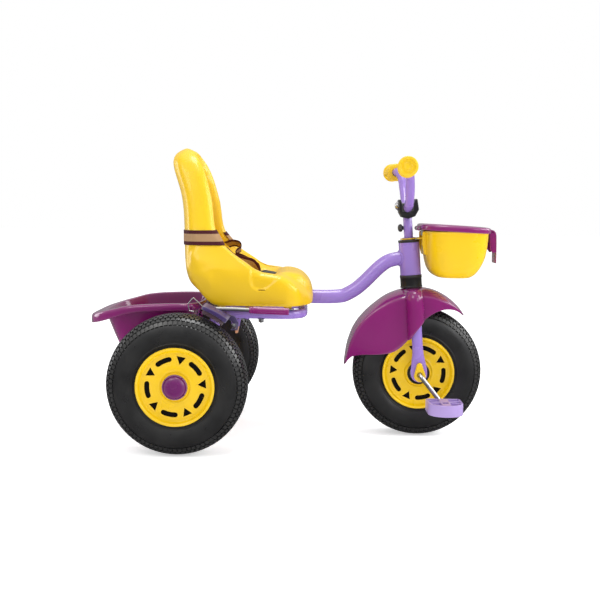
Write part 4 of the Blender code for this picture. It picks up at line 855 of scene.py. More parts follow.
for side, tag, start in ((-1, "near", 11.5), (1, "far", 40.0)):
    body = f"rear_wheel_{tag}"
    centre = (REAR_X, side * REAR_Y, WHEEL_R)
    tyre(f"{body}_tyre_moulded", centre, body, f"{body}_tyre", 0.0 if side < 0 else 0.4)
    rim(f"{body}_rim_moulded", centre, body, f"{body}_rim", 0.0066, [start + 36 + 72 * k for k in range(5)], [start + 72 * k for k in range(5)])
    cap = lathe(f"{body}_cap_moulded", [(0.0, 0.0533), (0.0060, 0.0531), (0.0110, 0.0524), (0.0155, 0.0510), (0.0180, 0.0496), (0.0192, 0.0482),
                                        (0.0196, 0.0470), (0.0200, 0.0466), (0.0206, 0.0467), (0.0212, 0.0471), (0.0222, 0.0470), (0.0230, 0.0460),
                                        (0.0233, 0.0446), (0.0233, 0.0425), (0.0200, 0.0425), (0.0150, 0.0465), (0.0, 0.0480)], 96, centre, (0, side, 0))
    notches = bmesh.new()
    for k in range(4):
        a = math.radians(38 + 90 * k)
        m = Matrix.Translation(centre) @ Matrix.Rotation(a, 4, "Y") @ Matrix.Translation((0.0221, side * 0.0465, 0))
        made = bmesh.ops.create_cube(notches, size=1.0, matrix=m @ Matrix.Diagonal((0.0022, 0.0030, 0.0024, 1)))
    cap = cut(cap, new_object("notches", notches))
    finish_piece(cap, CAP_PURPLE, body, f"{body}_cap", sharp=30)

front = (FRONT_X, 0, WHEEL_R)
tyre("front_wheel_tyre_moulded", front, "front_wheel", "front_wheel_tyre", 0.2)
rim("front_wheel_rim_moulded", front, "front_wheel", "front_wheel_rim", 0.0052, [24 + 72 * k for k in range(5)], [60 + 72 * k for k in range(5)])
for side, tag in ((-1, "near"), (1, "far")):
    ring = lathe(f"hub_collar_{tag}_moulded", fillet([(0.0222, 0.0424), (0.0222, 0.0478), (0.0208, 0.0490), (0.0186, 0.0490), (0.0180, 0.0450), (0.0052, 0.0450),
                                                      (0.0052, 0.0424)], 0.0004), 72, front, (0, side, 0))
    finish_piece(ring, BLACK, "front_wheel", f"hub_collar_{tag}")
    washer = lathe(f"hub_washer_{tag}", fillet([(0.0176, 0.0453), (0.0176, 0.0468), (0.0120, 0.0478), (0.0090, 0.0502), (0.0052, 0.0502), (0.0052, 0.0453)], 0.0004), 60,
                   front, (0, side, 0))
    finish_piece(washer, DULL, "front_wheel")

# ---------------------------------------------------------------- cranks and pedals
SP = (FRONT_X + 0.0435, WHEEL_R - 0.0535)
SPF = (FRONT_X - 0.0435, WHEEL_R + 0.0535)
line = cornered([(SP[0], -0.1580, SP[1]), (SP[0], -0.0790, SP[1]), (FRONT_X, -0.0790, WHEEL_R), (FRONT_X, 0.0790, WHEEL_R),
                 (SPF[0], 0.0790, SPF[1]), (SPF[0], 0.1580, SPF[1])], 0.0085, 10)
crank = sweep("crank_axle_plated", resampled(line, 0.0022), 0.0045, 20, cap_round=0.0012)
finish_piece(crank, DULL, "front_wheel", "crank_axle", sharp=50)

for side, tag, spot in ((-1, "near", SP), (1, "far", SPF)):
    cx, cz = spot
    inner, outer = 0.0885, 0.1640
    body_plan = [(-0.0298, inner), (0.0298, inner), (0.0338, inner + 0.005)]
    body_plan += [(0.0338 * math.cos(t), outer - 0.033 + 0.033 * math.sin(t)) for t in np.linspace(0.0, math.pi, 33)]
    body_plan += [(-0.0338, inner + 0.005)]
    wall = 0.0042
    # pockets either side of the spindle sleeve, split by slanting ribs
    holes = []
    for sx in (-1, 1):
        x0, x1 = sx * 0.0092, sx * (0.0338 - wall)
        lo, hi = inner + wall, outer - 0.0165
        mid = (lo + hi) / 2
        holes.append(fillet([(x0, lo), (x1, lo), (x1, mid - 0.0135), (x0, mid - 0.0015)], 0.0016, 2))
        holes.append(fillet([(x0, mid + 0.0015), (x1, mid - 0.0100), (x1, mid + 0.0100), (x0, mid + 0.0048)], 0.0014, 2))
        holes.append(fillet([(x0, mid + 0.0085), (x1, mid + 0.0138), (x1 * 0.93, outer - 0.0240), (sx * 0.0200, outer - 0.0122), (x0, outer - 0.0075)], 0.0014, 2))
    m = Matrix.Translation((cx, 0, cz)) @ Matrix.Diagonal((1, side, 1, 1))
    pedal = plate(f"pedal_{tag}_moulded", [body_plan] + [h[::-1] for h in holes], 0.0222, 0.0010, m, 3)
    sleeve = bar("sleeve", (cx, side * (inner - 0.0010), cz), (cx, side * (outer - 0.006), cz), 0.00885, 30)
    pedal = join(pedal, sleeve)
    bore = bar("bore", (cx, side * (inner - 0.01), cz), (cx, side * 0.1600, cz), 0.0049, 24)
    screws = []
    for px, py in ((-0.0300, inner + 0.0048), (0.0300, inner + 0.0048), (-0.0252, outer - 0.0158), (0.0252, outer - 0.0158)):
        screws.append(bar("screw", (cx + px, side * py, cz + 0.0075), (cx + px, side * py, cz + 0.02), 0.0021, 14))
    pedal = cut(pedal, bore, *screws)
    window = box("window", (cx - 0.0056, side * (outer - 0.0300) - 0.0070, cz + 0.0015), (cx + 0.0056, side * (outer - 0.0300) + 0.0070, cz + 0.02), 0.0012)
    pedal = cut(pedal, window)
    finish_piece(pedal, PEDAL_LILAC, f"pedal_{tag}_body", f"pedal_{tag}", sharp=32)

# ---------------------------------------------------------------- fork
leg_line = cornered([on_axis(-0.0162, 0, -FORK_Y), on_axis(0.1560, 0, -FORK_Y), on_axis(0.1560, 0, FORK_Y), on_axis(-0.0162, 0, FORK_Y)], 0.022, 12)
leg_line = resampled(leg_line, 0.0028)
WIDE = curve_through([(-0.0165, 0.0012), (-0.0160, 0.0048), (-0.0145, 0.0082), (-0.0110, 0.0124), (-0.0060, 0.0152), (0.0, 0.0163), (0.0080, 0.0162), (0.0180, 0.0146),
                      (0.0300, 0.0128), (0.0420, 0.0112), (0.0540, 0.0106), (0.0700, 0.0105), (0.1300, 0.0105), (0.1500, 0.0094), (0.30, 0.0092)])
THICK = curve_through([(-0.0165, 0.0026), (-0.0140, 0.0038), (0.0, 0.0040), (0.0120, 0.0040), (0.0200, 0.0050), (0.0320, 0.0080), (0.0420, 0.0091), (0.0540, 0.0092), (0.30, 0.0092)])


def leg_size(i, n):
    s = (leg_line[i] - AXLE).dot(U)
    return WIDE(s), THICK(s)


fork = sweep("fork_painted", leg_line, leg_size, 28, start_up=(1, 0, 0))
steerer = lathe("steerer", [(0.0130, 0.1500), (0.0130, 0.2700), (0.0095, 0.2700), (0.0095, 0.1500)], 48, AXLE, U)
fork = join(fork, steerer)
fork = cut(fork, bar("b1", (FRONT_X, -0.08, WHEEL_R), (FRONT_X, -0.04, WHEEL_R), 0.0053, 24), bar("b2", (FRONT_X, 0.04, WHEEL_R), (FRONT_X, 0.08, WHEEL_R), 0.0053, 24),
           bar("b3", on_axis(0.140), on_axis(0.28), 0.0095, 40))
finish_piece(fork, LILAC, "steering", "fork", sharp=40)

# ---------------------------------------------------------------- front mudguard
SPINE = curve_through([(50.6, 0.1480), (57, 0.1533), (64, 0.1585), (72.4, 0.1640), (81, 0.1681), (89, 0.1693), (97, 0.1689), (105, 0.1681),
                       (113, 0.1661), (123, 0.1618), (134, 0.1588), (147, 0.1560), (156, 0.1519), (166, 0.1495), (176.4, 0.1485)])
SKIRT = curve_through([(50.6, 0.1462), (56, 0.1458), (62, 0.1440), (69, 0.1375), (76, 0.1260), (85, 0.1080), (91.5, 0.0945), (98, 0.0835), (104, 0.0755), (110, 0.0700),
                       (120, 0.0650), (132, 0.0640), (141, 0.0670), (150, 0.0765), (156, 0.0895), (160, 0.1040), (163, 0.1190), (167, 0.1350), (171, 0.1415), (176.4, 0.1455)])
HALF = curve_through([(50.6, 0.0040), (52.5, 0.0140), (56, 0.0270), (61, 0.0385), (67, 0.0465), (75, 0.0500), (85, 0.0505), (140, 0.0505), (152, 0.0500), (160, 0.0465), (167, 0.0375),
                      (172, 0.0250), (175, 0.0130), (176.4, 0.0040)])
FOLD = curve_through([(50.6, 0.1468), (56, 0.1490), (64, 0.1520), (76, 0.1550), (95, 0.1560), (120, 0.1545), (140, 0.1530), (156, 0.1500), (166, 0.1478), (176.4, 0.1462)])
LEG_ANGLE = 90 + 4.66


def fender_half(angle):
    """Outer half section: crown, tight crease and skirt, as (y, r) from the centre line to the lower edge."""
    top, low, wide, fold = SPINE(angle), SKIRT(angle), HALF(angle), FOLD(angle)
    fold = min(fold, top - 0.0012)
    low = min(low, fold - 0.0008)
    points = []
    for k in range(15):
        u = k / 14
        points.append((wide * 0.955 * u, top - (top - fold) * (u ** 2.1)))
    depth = min(0.0050, (fold - low) * 0.4)
    points.append((wide * 0.985, fold - depth * 0.28))
    points.append((wide * 1.0, fold - depth * 0.75))
    for k in range(1, 17):
        u = k / 16
        y = wide + 0.0004 * math.sin(u * math.pi) * (1 if low < 0.12 else 0)
        points.append((y, (fold - depth * 0.75) * (1 - u) + low * u))
    return points


def hump_half(angle):
    """Where the shell has to pass to clothe the fork: over the crown's shoulders and down outside each leg."""
    low = SKIRT(angle)
    over = [(0.0, 0.1690), (0.020, 0.1692), (0.032, 0.1702), (0.043, 0.1704), (0.053, 0.1690), (0.0610, 0.1655), (0.0668, 0.1600), (0.0703, 0.1530), (0.0718, 0.1450)]
    dense = smooth_points([(y, r, 0) for y, r in over], 6)
    points = []
    for k in range(17):
        p = dense[int(round((len(dense) - 1) * (k / 16) ** 0.9))]
        points.append((p.x, p.y))
    for k in range(1, 17):
        u = k / 16
        points.append((0.0718, 0.1450 * (1 - u) + low * u))
    return points


def fender_rows():
    angles = sorted(set([round(a, 3) for a in np.concatenate([np.linspace(50.6, 60, 10), np.linspace(60, 82, 20), np.linspace(82, 108, 66), np.linspace(108, 160, 44),
                                                                 np.linspace(160, 176.4, 16)])]))
    rows = []
    for angle in angles:
        base, hump = fender_half(angle), hump_half(angle)
        half = []
        for (y, r), (hy, hr) in zip(base, hump):
            d = r * math.sin(math.radians(angle - LEG_ANGLE))
            w = abs(d) / 0.0172
            k = math.sqrt(max(0.0, 1 - w * w)) if w < 1 else 0.0
            k = k ** 0.85 * ease((y - 0.004) / 0.030)
            half.append((y + (hy - y) * k, r + (hr - r) * k))
        rows.append((angle, half))
    return rows


bm = bmesh.new()
grid = []
for angle, half in fender_rows():
    c, s = math.cos(math.radians(angle)), math.sin(math.radians(angle))
    loop = [(-y, r) for y, r in half[:0:-1]] + [(y, r) for y, r in half]
    grid.append([bm.verts.new((FRONT_X + r * c, y, WHEEL_R + r * s)) for y, r in loop])
for a, b in zip(grid, grid[1:]):
    for i in range(len(a) - 1):
        bm.faces.new((a[i], a[i + 1], b[i + 1], b[i]))
bmesh.ops.recalc_face_normals(bm, faces=bm.faces[:])
up_sum = sum((f.normal.z for f in bm.faces))
if up_sum < 0:
    bmesh.ops.reverse_faces(bm, faces=bm.faces[:])
fender = new_object("front_fender_moulded", bm, recalc=False)
thick = fender.modifiers.new("wall", "SOLIDIFY")
thick.thickness = 0.0022
thick.offset = -1
thick.use_even_offset = False
fender = baked(fender)
fender = cut(fender, bar("hole", on_axis(0.14), on_axis(0.19), 0.0137, 48))
finish_piece(fender, PURPLE, "steering", "front_fender", sharp=42)

# teardrop covers over the axle ends
for side, tag in ((-1, "near"), (1, "far")):
    drop = arc(FRONT_X + 0.0008, WHEEL_R - 0.0030, 0.0115, -190, 10, 24) + arc(FRONT_X - 0.0004, WHEEL_R + 0.0180, 0.0055, 20, 160, 12)
    mid = Vector((FRONT_X + 0.0004, 0, WHEEL_R + 0.002))
    base = FORK_Y + 0.0043
    rings = []
    for scale, lift in ((1.0, 0.0), (1.0, 0.0048), (0.985, 0.0062), (0.94, 0.0072), (0.86, 0.0079), (0.66, 0.0082), (0.45, 0.0083)):
        rings.append([(mid.x + (x - mid.x) * scale, side * (base + lift), mid.z + (z - mid.z) * scale) for x, z in drop])
    cover = skin(f"axle_cover_{tag}_moulded", rings)
    cover = cut(cover, bar("c", (FRONT_X, side * 0.055, WHEEL_R), (FRONT_X, side * 0.08, WHEEL_R), 0.0054, 28))
    finish_piece(cover, YELLOW, "steering", f"axle_cover_{tag}", sharp=40)


# ---------------------------------------------------------------- frame tubes
def weld_bead(name, start, direction, radius, axis_point, axis_dir, axis_radius, bead, body, lift=0.0003):
    """A rippled bead where one round tube runs into the side of another."""
    start, d = Vector(start), Vector(direction).normalized()
    a, q = Vector(axis_dir).normalized(), Vector(axis_point)
    e1 = (Vector((0, 1, 0)) - d * d.y)
    if e1.length < 0.3:
        e1 = Vector((0, 0, 1)) - d * d.z
    e1.normalize()
    e2 = d.cross(e1)
    points = []
    for k in range(72):
        t = 2 * math.pi * k / 72
        p = start + (e1 * math.cos(t) + e2 * math.sin(t)) * (radius + lift)
        w, flat = (p - q) - a * (p - q).dot(a), d - a * d.dot(a)
        aa, bb, cc = flat.dot(flat), 2 * w.dot(flat), w.dot(w) - (axis_radius + lift) ** 2
        disc = max(0.0, bb * bb - 4 * aa * cc)
        t1, t2 = (-bb - math.sqrt(disc)) / (2 * aa), (-bb + math.sqrt(disc)) / (2 * aa)
        points.append(p + d * (t1 if abs(t1) < abs(t2) else t2))
    n = len(points)
    rings = []
    for i, p in enumerate(points):
        tangent = (points[(i + 1) % n] - points[i - 1]).normalized()
        side = d.cross(tangent).normalized()
        other = tangent.cross(side)
        r = bead * (1.0 + 0.10 * math.sin(i * 2 * math.pi / 4.5))
        rings.append([p + (side * math.cos(2 * math.pi * k / 10) + other * math.sin(2 * math.pi * k / 10)) * r for k in range(10)])
    obj = skin(name, rings, closed=True)
    return finish_piece(obj, LILAC, body, sharp=0)


HEAD_LO, HEAD_HI = 0.1945, 0.2604
head = lathe("head_tube_painted", fillet([(0.0210, HEAD_LO), (0.0210, HEAD_HI), (0.0165, HEAD_HI), (0.0165, HEAD_LO)], 0.0008, 3), 96, AXLE, U)
finish_piece(head, LILAC, "frame", "head_tube")
bush = lathe("head_bush_upper_moulded", fillet([(0.0216, HEAD_HI + 0.0003), (0.0216, 0.2652), (0.0136, 0.2652), (0.0136, 0.2480), (0.0160, 0.2480), (0.0160, HEAD_HI + 0.0003)], 0.0007, 3),
             96, AXLE, U)
finish_piece(bush, BLACK, "frame", "head_bush_upper")
bush = lathe("head_bush_lower_moulded", fillet([(0.0222, 0.1690), (0.0222, 0.1722), (0.0216, 0.1730), (0.0216, 0.1880), (0.0222, 0.1888), (0.0222, HEAD_LO - 0.0003), (0.0160, HEAD_LO - 0.0003),
                                                (0.0160, 0.2080), (0.0136, 0.2080), (0.0136, 0.1690)], 0.0006, 2), 96, AXLE, U)
finish_piece(bush, BLACK, "frame", "head_bush_lower")

S_CURVE = [(-0.118, 0.2772), (-0.03, 0.2772), (0.045, 0.2765), (0.083, 0.2785), (0.099, 0.2845),
           (0.115, 0.2945), (0.131, 0.3085), (0.147, 0.3250), (0.163, 0.3405), (0.181, 0.3520), (0.2120, 0.3590)]
line = resampled(smooth_points([(x, 0, z) for x, z in S_CURVE], 12), 0.004)
tube_main = sweep("main_tube_painted", line, 0.0140, 40, cap_round=0.002)
tube_main = cut(tube_main, bar("c", on_axis(0.18), on_axis(0.28), 0.0212, 72))
finish_piece(tube_main, LILAC, "frame", "main_tube", sharp=40)
run = (line[-1] - line[-3]).normalized()
weld_bead("weld_head", line[-4], run, 0.0140, AXLE, U, 0.0210, 0.0021, "frame")

UY, UZ = 0.105, 0.2500
LEG_LOW = (-0.2110, 0.1480)
u_line = cornered([(LEG_LOW[0], -UY, LEG_LOW[1]), (-0.1560, -UY, UZ), (0.0075, -UY, UZ), (0.0075, UY, UZ), (-0.1560, UY, UZ), (LEG_LOW[0], UY, LEG_LOW[1])], 0.042, 14)
u_line = resampled(u_line, 0.0032)


def u_size(i, n):
    end = min(i, n - 1 - i) * 0.0032
    k = ease(end / 0.030)
    return 0.0034 + 0.0056 * k, 0.0118 - 0.0028 * k


u_tube = sweep("rear_u_tube_painted", u_line, u_size, 28, start_up=(0, 1, 0))
ears = [plate(f"ear{side}", [arc(REAR_X, WHEEL_R, 0.0165, 150, 390, 24) + [(LEG_LOW[0] + 0.017, LEG_LOW[1] + 0.012), (LEG_LOW[0] + 0.004, LEG_LOW[1] + 0.020)]],
              0.0060, 0.0008, at_y(side * UY)) for side in (-1, 1)]
cross = bar("cross", (-0.100, -UY, UZ - 0.0012), (-0.100, UY, UZ - 0.0012), 0.0078, 28)
u_tube = join(u_tube, *ears, cross)
u_tube = cut(u_tube, bar("c1", (REAR_X, -0.13, WHEEL_R), (REAR_X, -0.09, WHEEL_R), 0.0063, 24), bar("c2", (REAR_X, 0.09, WHEEL_R), (REAR_X, 0.13, WHEEL_R), 0.0063, 24),
             bar("c3", (-0.073, -UY, 0.23), (-0.073, -UY, 0.27), 0.0033, 16), bar("c4", (-0.073, UY, 0.23), (-0.073, UY, 0.27), 0.0033, 16))
finish_piece(u_tube, LILAC, "frame", "rear_u_tube", sharp=40)
for side, tag in ((-1, "near"), (1, "far")):
    weld_bead(f"weld_cross_{tag}", (-0.100, side * (UY - 0.010), UZ - 0.0012), (0, side, 0), 0.0078, (0, side * UY, UZ), (1, 0, 0), 0.0090, 0.0013, "frame")
# brackets from the main tube down to the cross tube
saddle = plate("main_saddle", [[(-0.1125, 0.2665), (-0.0875, 0.2665), (-0.0900, 0.2500), (-0.1100, 0.2500)]], 0.010, 0.0008, XZ)
finish_piece(saddle, LILAC, "frame")


def hex_nut(name, centre, direction, across, height, bore=0.0):
    centre, d = Vector(centre), Vector(direction).normalized()
    points = [(across / math.sqrt(3) * math.cos(math.radians(60 * k + 30)), across / math.sqrt(3) * math.sin(math.radians(60 * k + 30))) for k in range(6)]
    block = plate(name, [points], height, 0.0004, axis_matrix(centre, d))
    return block


for side, tag in ((-1, "near"), (1, "far")):
    y = side * UY
    bolt = bar(f"seat_bolt_{tag}_plated", (-0.073, y, 0.2335), (-0.073, y, 0.2665), 0.0029, 24, 0.0006)
    top = lathe("top", [(0.0, 0.2655), (0.0063, 0.2655), (0.0065, 0.2660), (0.0060, 0.2674), (0.0045, 0.2685), (0.0024, 0.2690), (0.0, 0.26905)], 32, (-0.073, y, 0), (0, 0, 1))
    nut = hex_nut("nut", (-0.073, y, 0.2376), (0, 0, 1), 0.0100, 0.0050)
    washer = lathe("washer", fillet([(0.0065, 0.2402), (0.0065, 0.2410), (0.0030, 0.2410), (0.0030, 0.2402)], 0.0002), 32, (-0.073, y, 0), (0, 0, 1))
    bolt = join(bolt, top, nut)
    finish_piece(together(bolt, washer), DULL, "frame", f"seat_bolt_{tag}", sharp=30)
for side, tag in ((-1, "near"), (1, "far")):
    shape = [(BRAKE_X + 0.010, 0.2400), (BRAKE_X + 0.008, BRAKE_Z - 0.004)] + arc(BRAKE_X, BRAKE_Z, 0.0095, -40, -140, 12) + [(BRAKE_X - 0.008, BRAKE_Z - 0.004), (BRAKE_X - 0.010, 0.2400)]
    hanger = plate(f"brake_hanger_{tag}_painted", [shape], 0.0040, 0.0005, at_y(side * UY))
    hanger = cut(hanger, bar("a", (BRAKE_X, side * UY - 0.01, BRAKE_Z), (BRAKE_X, side * UY + 0.01, BRAKE_Z), 0.0054, 24),
                 bar("b", (-0.2, side * UY, UZ), (0.0, side * UY, UZ), 0.0092, 32))
    finish_piece(hanger, LILAC, "frame", f"brake_hanger_{tag}")
axle = bar("rear_axle_plated", (REAR_X, -0.2474, WHEEL_R), (REAR_X, 0.2474, WHEEL_R), 0.0060, 40, 0.0008)
finish_piece(axle, STEEL, "frame", "rear_axle", sharp=30)

# ---------------------------------------------------------------- stem, handlebar, clamp, grips
stem = lathe("stem_painted", fillet([(0.0090, 0.1750), (0.0090, 0.3120), (0.0065, 0.3120), (0.0065, 0.1750)], 0.0005, 2), 64, AXLE, U)
finish_piece(stem, LILAC, "handlebar", "stem")
knob = lathe("height_knob_moulded", [(0.0, 0.0206), (0.0034, 0.0204), (0.0058, 0.0194), (0.0074, 0.0176), (0.0079, 0.0154), (0.0075, 0.0134), (0.0060, 0.0120), (0.0041, 0.0114),
                                     (0.0040, 0.0094), (0.0, 0.0093)], 36, on_axis(0.2900), -V)
flutes = bmesh.new()
for k in range(9):
    a = 2 * math.pi * k / 9
    spot = axis_matrix(on_axis(0.2900), -V) @ Vector((0.0090 * math.cos(a), 0.0090 * math.sin(a), 0.0152))
    bmesh.ops.create_uvsphere(flutes, u_segments=10, v_segments=8, radius=0.0017, matrix=Matrix.Translation(spot))
knob = cut(knob, new_object("flutes", flutes))
finish_piece(knob, BLACK, "handlebar", "height_knob")

BAR = [on_axis(0.3290, 0.0, 0.0), on_axis(0.3300, 0.0, 0.018), on_axis(0.3380, 0.001, 0.040), on_axis(0.3640, 0.002, 0.064),
       on_axis(0.3900, 0.001, 0.080), Vector((0.2035, 0.098, 0.5318)), Vector((0.1990, 0.125, 0.5340)), Vector((GRIP_X, GRIP_END_Y - 0.006, GRIP_Z))]
half_line = smooth_points(BAR, 10)
bar_line = resampled([Vector((p.x, -p.y, p.z)) for p in half_line[:0:-1]] + half_line, 0.0030)
handlebar = sweep("handlebar_tube_painted", bar_line, 0.0088, 32, cap_round=0.001, start_up=(0, 0, 1))
finish_piece(handlebar, LILAC, "handlebar", "handlebar_tube", sharp=0)

lean = Matrix.Translation(on_axis(CLAMP_S)) @ Matrix.Rotation(-RAKE, 4, "Y")
shape = fillet([(-0.0165, 0.0196), (-0.0130, 0.0203), (-0.0088, 0.0060), (0.0112, 0.0060), (0.0165, 0.0196), (0.0205, 0.0190), (0.0224, -0.0020), (0.0142, -0.0150), (0.0, -0.0192),
                (-0.0128, -0.0150), (-0.0174, -0.0050)], 0.0020, 4)
clamp = plate("bar_clamp_moulded", [shape], 0.036, 0.0016, lean @ XZ, 3)
core = box("core", (-0.0131, -0.0184, -0.0062), (0.0131, 0.0184, 0.0123), 0.0024, lean)
clamp = join(clamp, core)
clamp = cut(clamp, sweep("c", bar_line[len(bar_line) // 2 - 12:len(bar_line) // 2 + 13], 0.0091, 32, start_up=(0, 0, 1)), bar("d", on_axis(0.29), on_axis(0.3125), 0.0092, 40),
            bar("e", on_axis(CLAMP_S + 0.006, -0.0280), on_axis(CLAMP_S + 0.006, -0.0110), 0.0031, 20))
finish_piece(clamp, BLACK, "handlebar", "bar_clamp", sharp=30)
shank = bar("clamp_bolt_plated", on_axis(CLAMP_S + 0.006, -0.0180), on_axis(CLAMP_S + 0.006, -0.0128), 0.0027, 20)
bolt_head = lathe("h", [(0.0, 0.0064), (0.0030, 0.0062), (0.0055, 0.0054), (0.0070, 0.0040), (0.0076, 0.0022), (0.0090, 0.0020), (0.0094, 0.0014), (0.0092, 0.0004), (0.0, 0.0)], 40, on_axis(CLAMP_S + 0.0075, -0.0176), -V)
finish_piece(join(shank, bolt_head), STEEL, "handlebar", "clamp_bolt", sharp=30)

for side, tag in ((-1, "near"), (1, "far")):
    inner = Vector((0.2005, side * 0.112, 0.5331))
    outer = Vector((GRIP_X, side * GRIP_END_Y, GRIP_Z))
    along = (outer - inner).normalized()
    length = (outer - inner).length
    profile = [(0.0, length - 0.0022), (0.0060, length - 0.0022), (0.0066, length - 0.0015), (0.0074, length - 0.0015), (0.0080, length - 0.0022), (0.0126, length - 0.0022), (0.0133, length - 0.0016),
               (0.0137, length - 0.0004), (0.0144, length), (0.0172, length - 0.0002), (0.0184, length - 0.0010), (0.0190, length - 0.0028), (0.0191, length - 0.0055), (0.0187, length - 0.0076),
               (0.0174, length - 0.0094), (0.0162, length - 0.0106)]
    ridges = np.linspace(length - 0.014, 0.0125, 33)
    for k, h in enumerate(ridges):
        profile.append((0.0153 + 0.0006 * (0.5 + 0.5 * math.cos(2 * math.pi * k / 4)), float(h)))
    profile += [(0.0160, 0.0105), (0.0174, 0.0088), (0.0184, 0.0062), (0.0186, 0.0036), (0.0182, 0.0012), (0.0168, 0.0002), (0.0092, 0.0000), (0.0092, 0.0006), (0.0092, length - 0.006),
                (0.0, length - 0.006)]
    profile = profile[:1] + profile[1:-2] + [(0.0092, length - 0.0060), (0.0, length - 0.0060)]
    grip = lathe(f"grip_{tag}_moulded", profile, 72, inner, along)
    finish_piece(grip, YELLOW, "handlebar", f"grip_{tag}", sharp=50)

# ---------------------------------------------------------------- basket and lid
PLATE = Matrix.Translation(on_axis(0.2676)) @ Matrix.Rotation(-RAKE, 4, "Y")
washer = lathe("basket_bracket_moulded", fillet([(0.0172, 0.2664), (0.0172, 0.2688), (0.0135, 0.2688), (0.0135, 0.2664)], 0.0006), 80, AXLE, U)
tongue = box("tongue", (0.0150, -0.0200, -0.0013), (0.0310, 0.0200, 0.0013), 0.0005, PLATE)
finish_piece(join(washer, tongue), YELLOW, "steering", "basket_bracket", sharp=30)

B_REAR = curve_through([(0.3205, 0.2850), (0.3212, 0.2790), (0.3235, 0.2715), (0.3280, 0.2650), (0.3350, 0.2594), (0.3480, 0.2542), (0.3650, 0.2508), (0.3850, 0.2490), (0.4140, 0.2480)])
B_FRONT = curve_through([(0.3205, 0.3310), (0.3212, 0.3370), (0.3235, 0.3430), (0.3280, 0.3490), (0.3350, 0.3550), (0.3480, 0.3625), (0.3650, 0.3690), (0.3850, 0.3720), (0.4140, 0.3738)])
B_WIDE = curve_through([(0.3205, 0.0400), (0.3212, 0.0480), (0.3235, 0.0560), (0.3280, 0.0640), (0.3350, 0.0705), (0.3480, 0.0765), (0.3650, 0.0798), (0.3850, 0.0815), (0.4140, 0.0830)])


def squircle(cx, a, b, z, n=112, p=0.60):
    ring = []
    for k in range(n):
        t = 2 * math.pi * (k + 0.5) / n
        c, s = math.cos(t), math.sin(t)
        ring.append((cx + a * math.copysign(abs(c) ** p, c), b * math.copysign(abs(s) ** p, s), z))
    return ring


def basket_at(z, grow, height=None):
    rear, front_x, wide = B_REAR(z), B_FRONT(z), B_WIDE(z)
    return squircle((rear + front_x) / 2, (front_x - rear) / 2 - grow, wide - grow, z if height is None else height)


levels = [0.3205, 0.3209, 0.3218, 0.3235, 0.3260, 0.3300, 0.3345, 0.3400, 0.3470, 0.3550, 0.3650, 0.3800, 0.3950, 0.4080]
rings = [basket_at(0.3205, 0.019), basket_at(0.3205, 0.010)] + [basket_at(z, 0.0) for z in levels]
rings += [basket_at(0.4088, 0.0), basket_at(0.4094, -0.0012), basket_at(0.4110, -0.0016), basket_at(0.4132, -0.0012), basket_at(0.4140, 0.0004), basket_at(0.4140, 0.0016), basket_at(0.4132, 0.0024)]
rings += [basket_at(z, 0.0026) for z in (0.4080, 0.3950, 0.3800, 0.3650, 0.3550, 0.3470, 0.3400, 0.3345, 0.3300)]
rings += [basket_at(0.3260, 0.0026, 0.3272), basket_at(0.3235, 0.0028, 0.3250), basket_at(0.3218, 0.0040, 0.3238), basket_at(0.3209, 0.0100, 0.3234), basket_at(0.3205, 0.0190, 0.3233)]
basket = skin("basket_moulded", rings)
cheek = fillet([(0.2424, 0.4122), (0.2600, 0.4128), (0.2600, 0.3560), (0.2540, 0.3600), (0.2462, 0.3700), (0.2426, 0.3850)], 0.0030, 4)
parts = [plate("cheek", [cheek], 0.0036, 0.0007, at_y(side * 0.0294)) for side in (-1, 1)]
back = box("back", (0.2468, -0.0300, 0.3660), (0.2500, 0.0300, 0.4125), 0.0007)
basket = join(basket, back, *parts)
basket = cut(basket, box("slot", (0.2400, -0.0206, 0.3945), (0.2506, 0.0206, 0.4018), 0.0), skin("inside", [basket_at(z, 0.0026) for z in (0.3300, 0.3470, 0.3650, 0.3950, 0.4080)] +
                                                                                     [basket_at(0.4150, 0.0020)]))
finish_piece(basket, YELLOW, "steering", "basket", sharp=40)

pin = bar("lid_hinge_pin_plated", (LID_X, -0.0285, LID_Z), (LID_X, 0.0285, LID_Z), 0.0019, 20, 0.0004)
post = box("post", (LID_X - 0.0032, -0.0160, LID_Z - 0.0030), (0.2463, 0.0160, LID_Z + 0.0028), 0.0008)
leaf = box("leaf", (0.2440, -0.0158, 0.4035), (0.2464, 0.0158, LID_Z), 0.0006)
finish_piece(join(pin, post, leaf), DULL, "steering", "lid_hinge_pin", sharp=30)


def lid_at(grow, z, n=128):
    ring = squircle(0.3077, 0.0697 + grow, 0.0868 + grow, z, n, 0.58)
    return [(x, y, zz - 0.045 * (x - 0.3165)) for x, y, zz in ring]


outside = [(-0.0014, 0.4128), (-0.0004, 0.4127), (0.0003, 0.4133), (0.0005, 0.4150), (0.0006, 0.4185), (0.0006, 0.4202), (0.0000, 0.4218), (-0.0014, 0.4230), (-0.0036, 0.4239), (-0.0062, 0.4242),
           (-0.0088, 0.4238), (-0.0108, 0.4228), (-0.0124, 0.4216), (-0.0146, 0.4210), (-0.0180, 0.4210), (-0.0260, 0.4214), (-0.0380, 0.4219), (-0.0520, 0.4222)]
inside = [(-0.0520, 0.4202), (-0.0380, 0.4199), (-0.0260, 0.4194), (-0.0180, 0.4190), (-0.0130, 0.4192), (-0.0105, 0.4205), (-0.0080, 0.4214), (-0.0050, 0.4212), (-0.0028, 0.4198), (-0.0018, 0.4178), (-0.0018, 0.4140)]
lid = skin("basket_lid_moulded", [lid_at(g, z) for g, z in [(-0.0520, 0.4200)] + inside[1:] + outside])
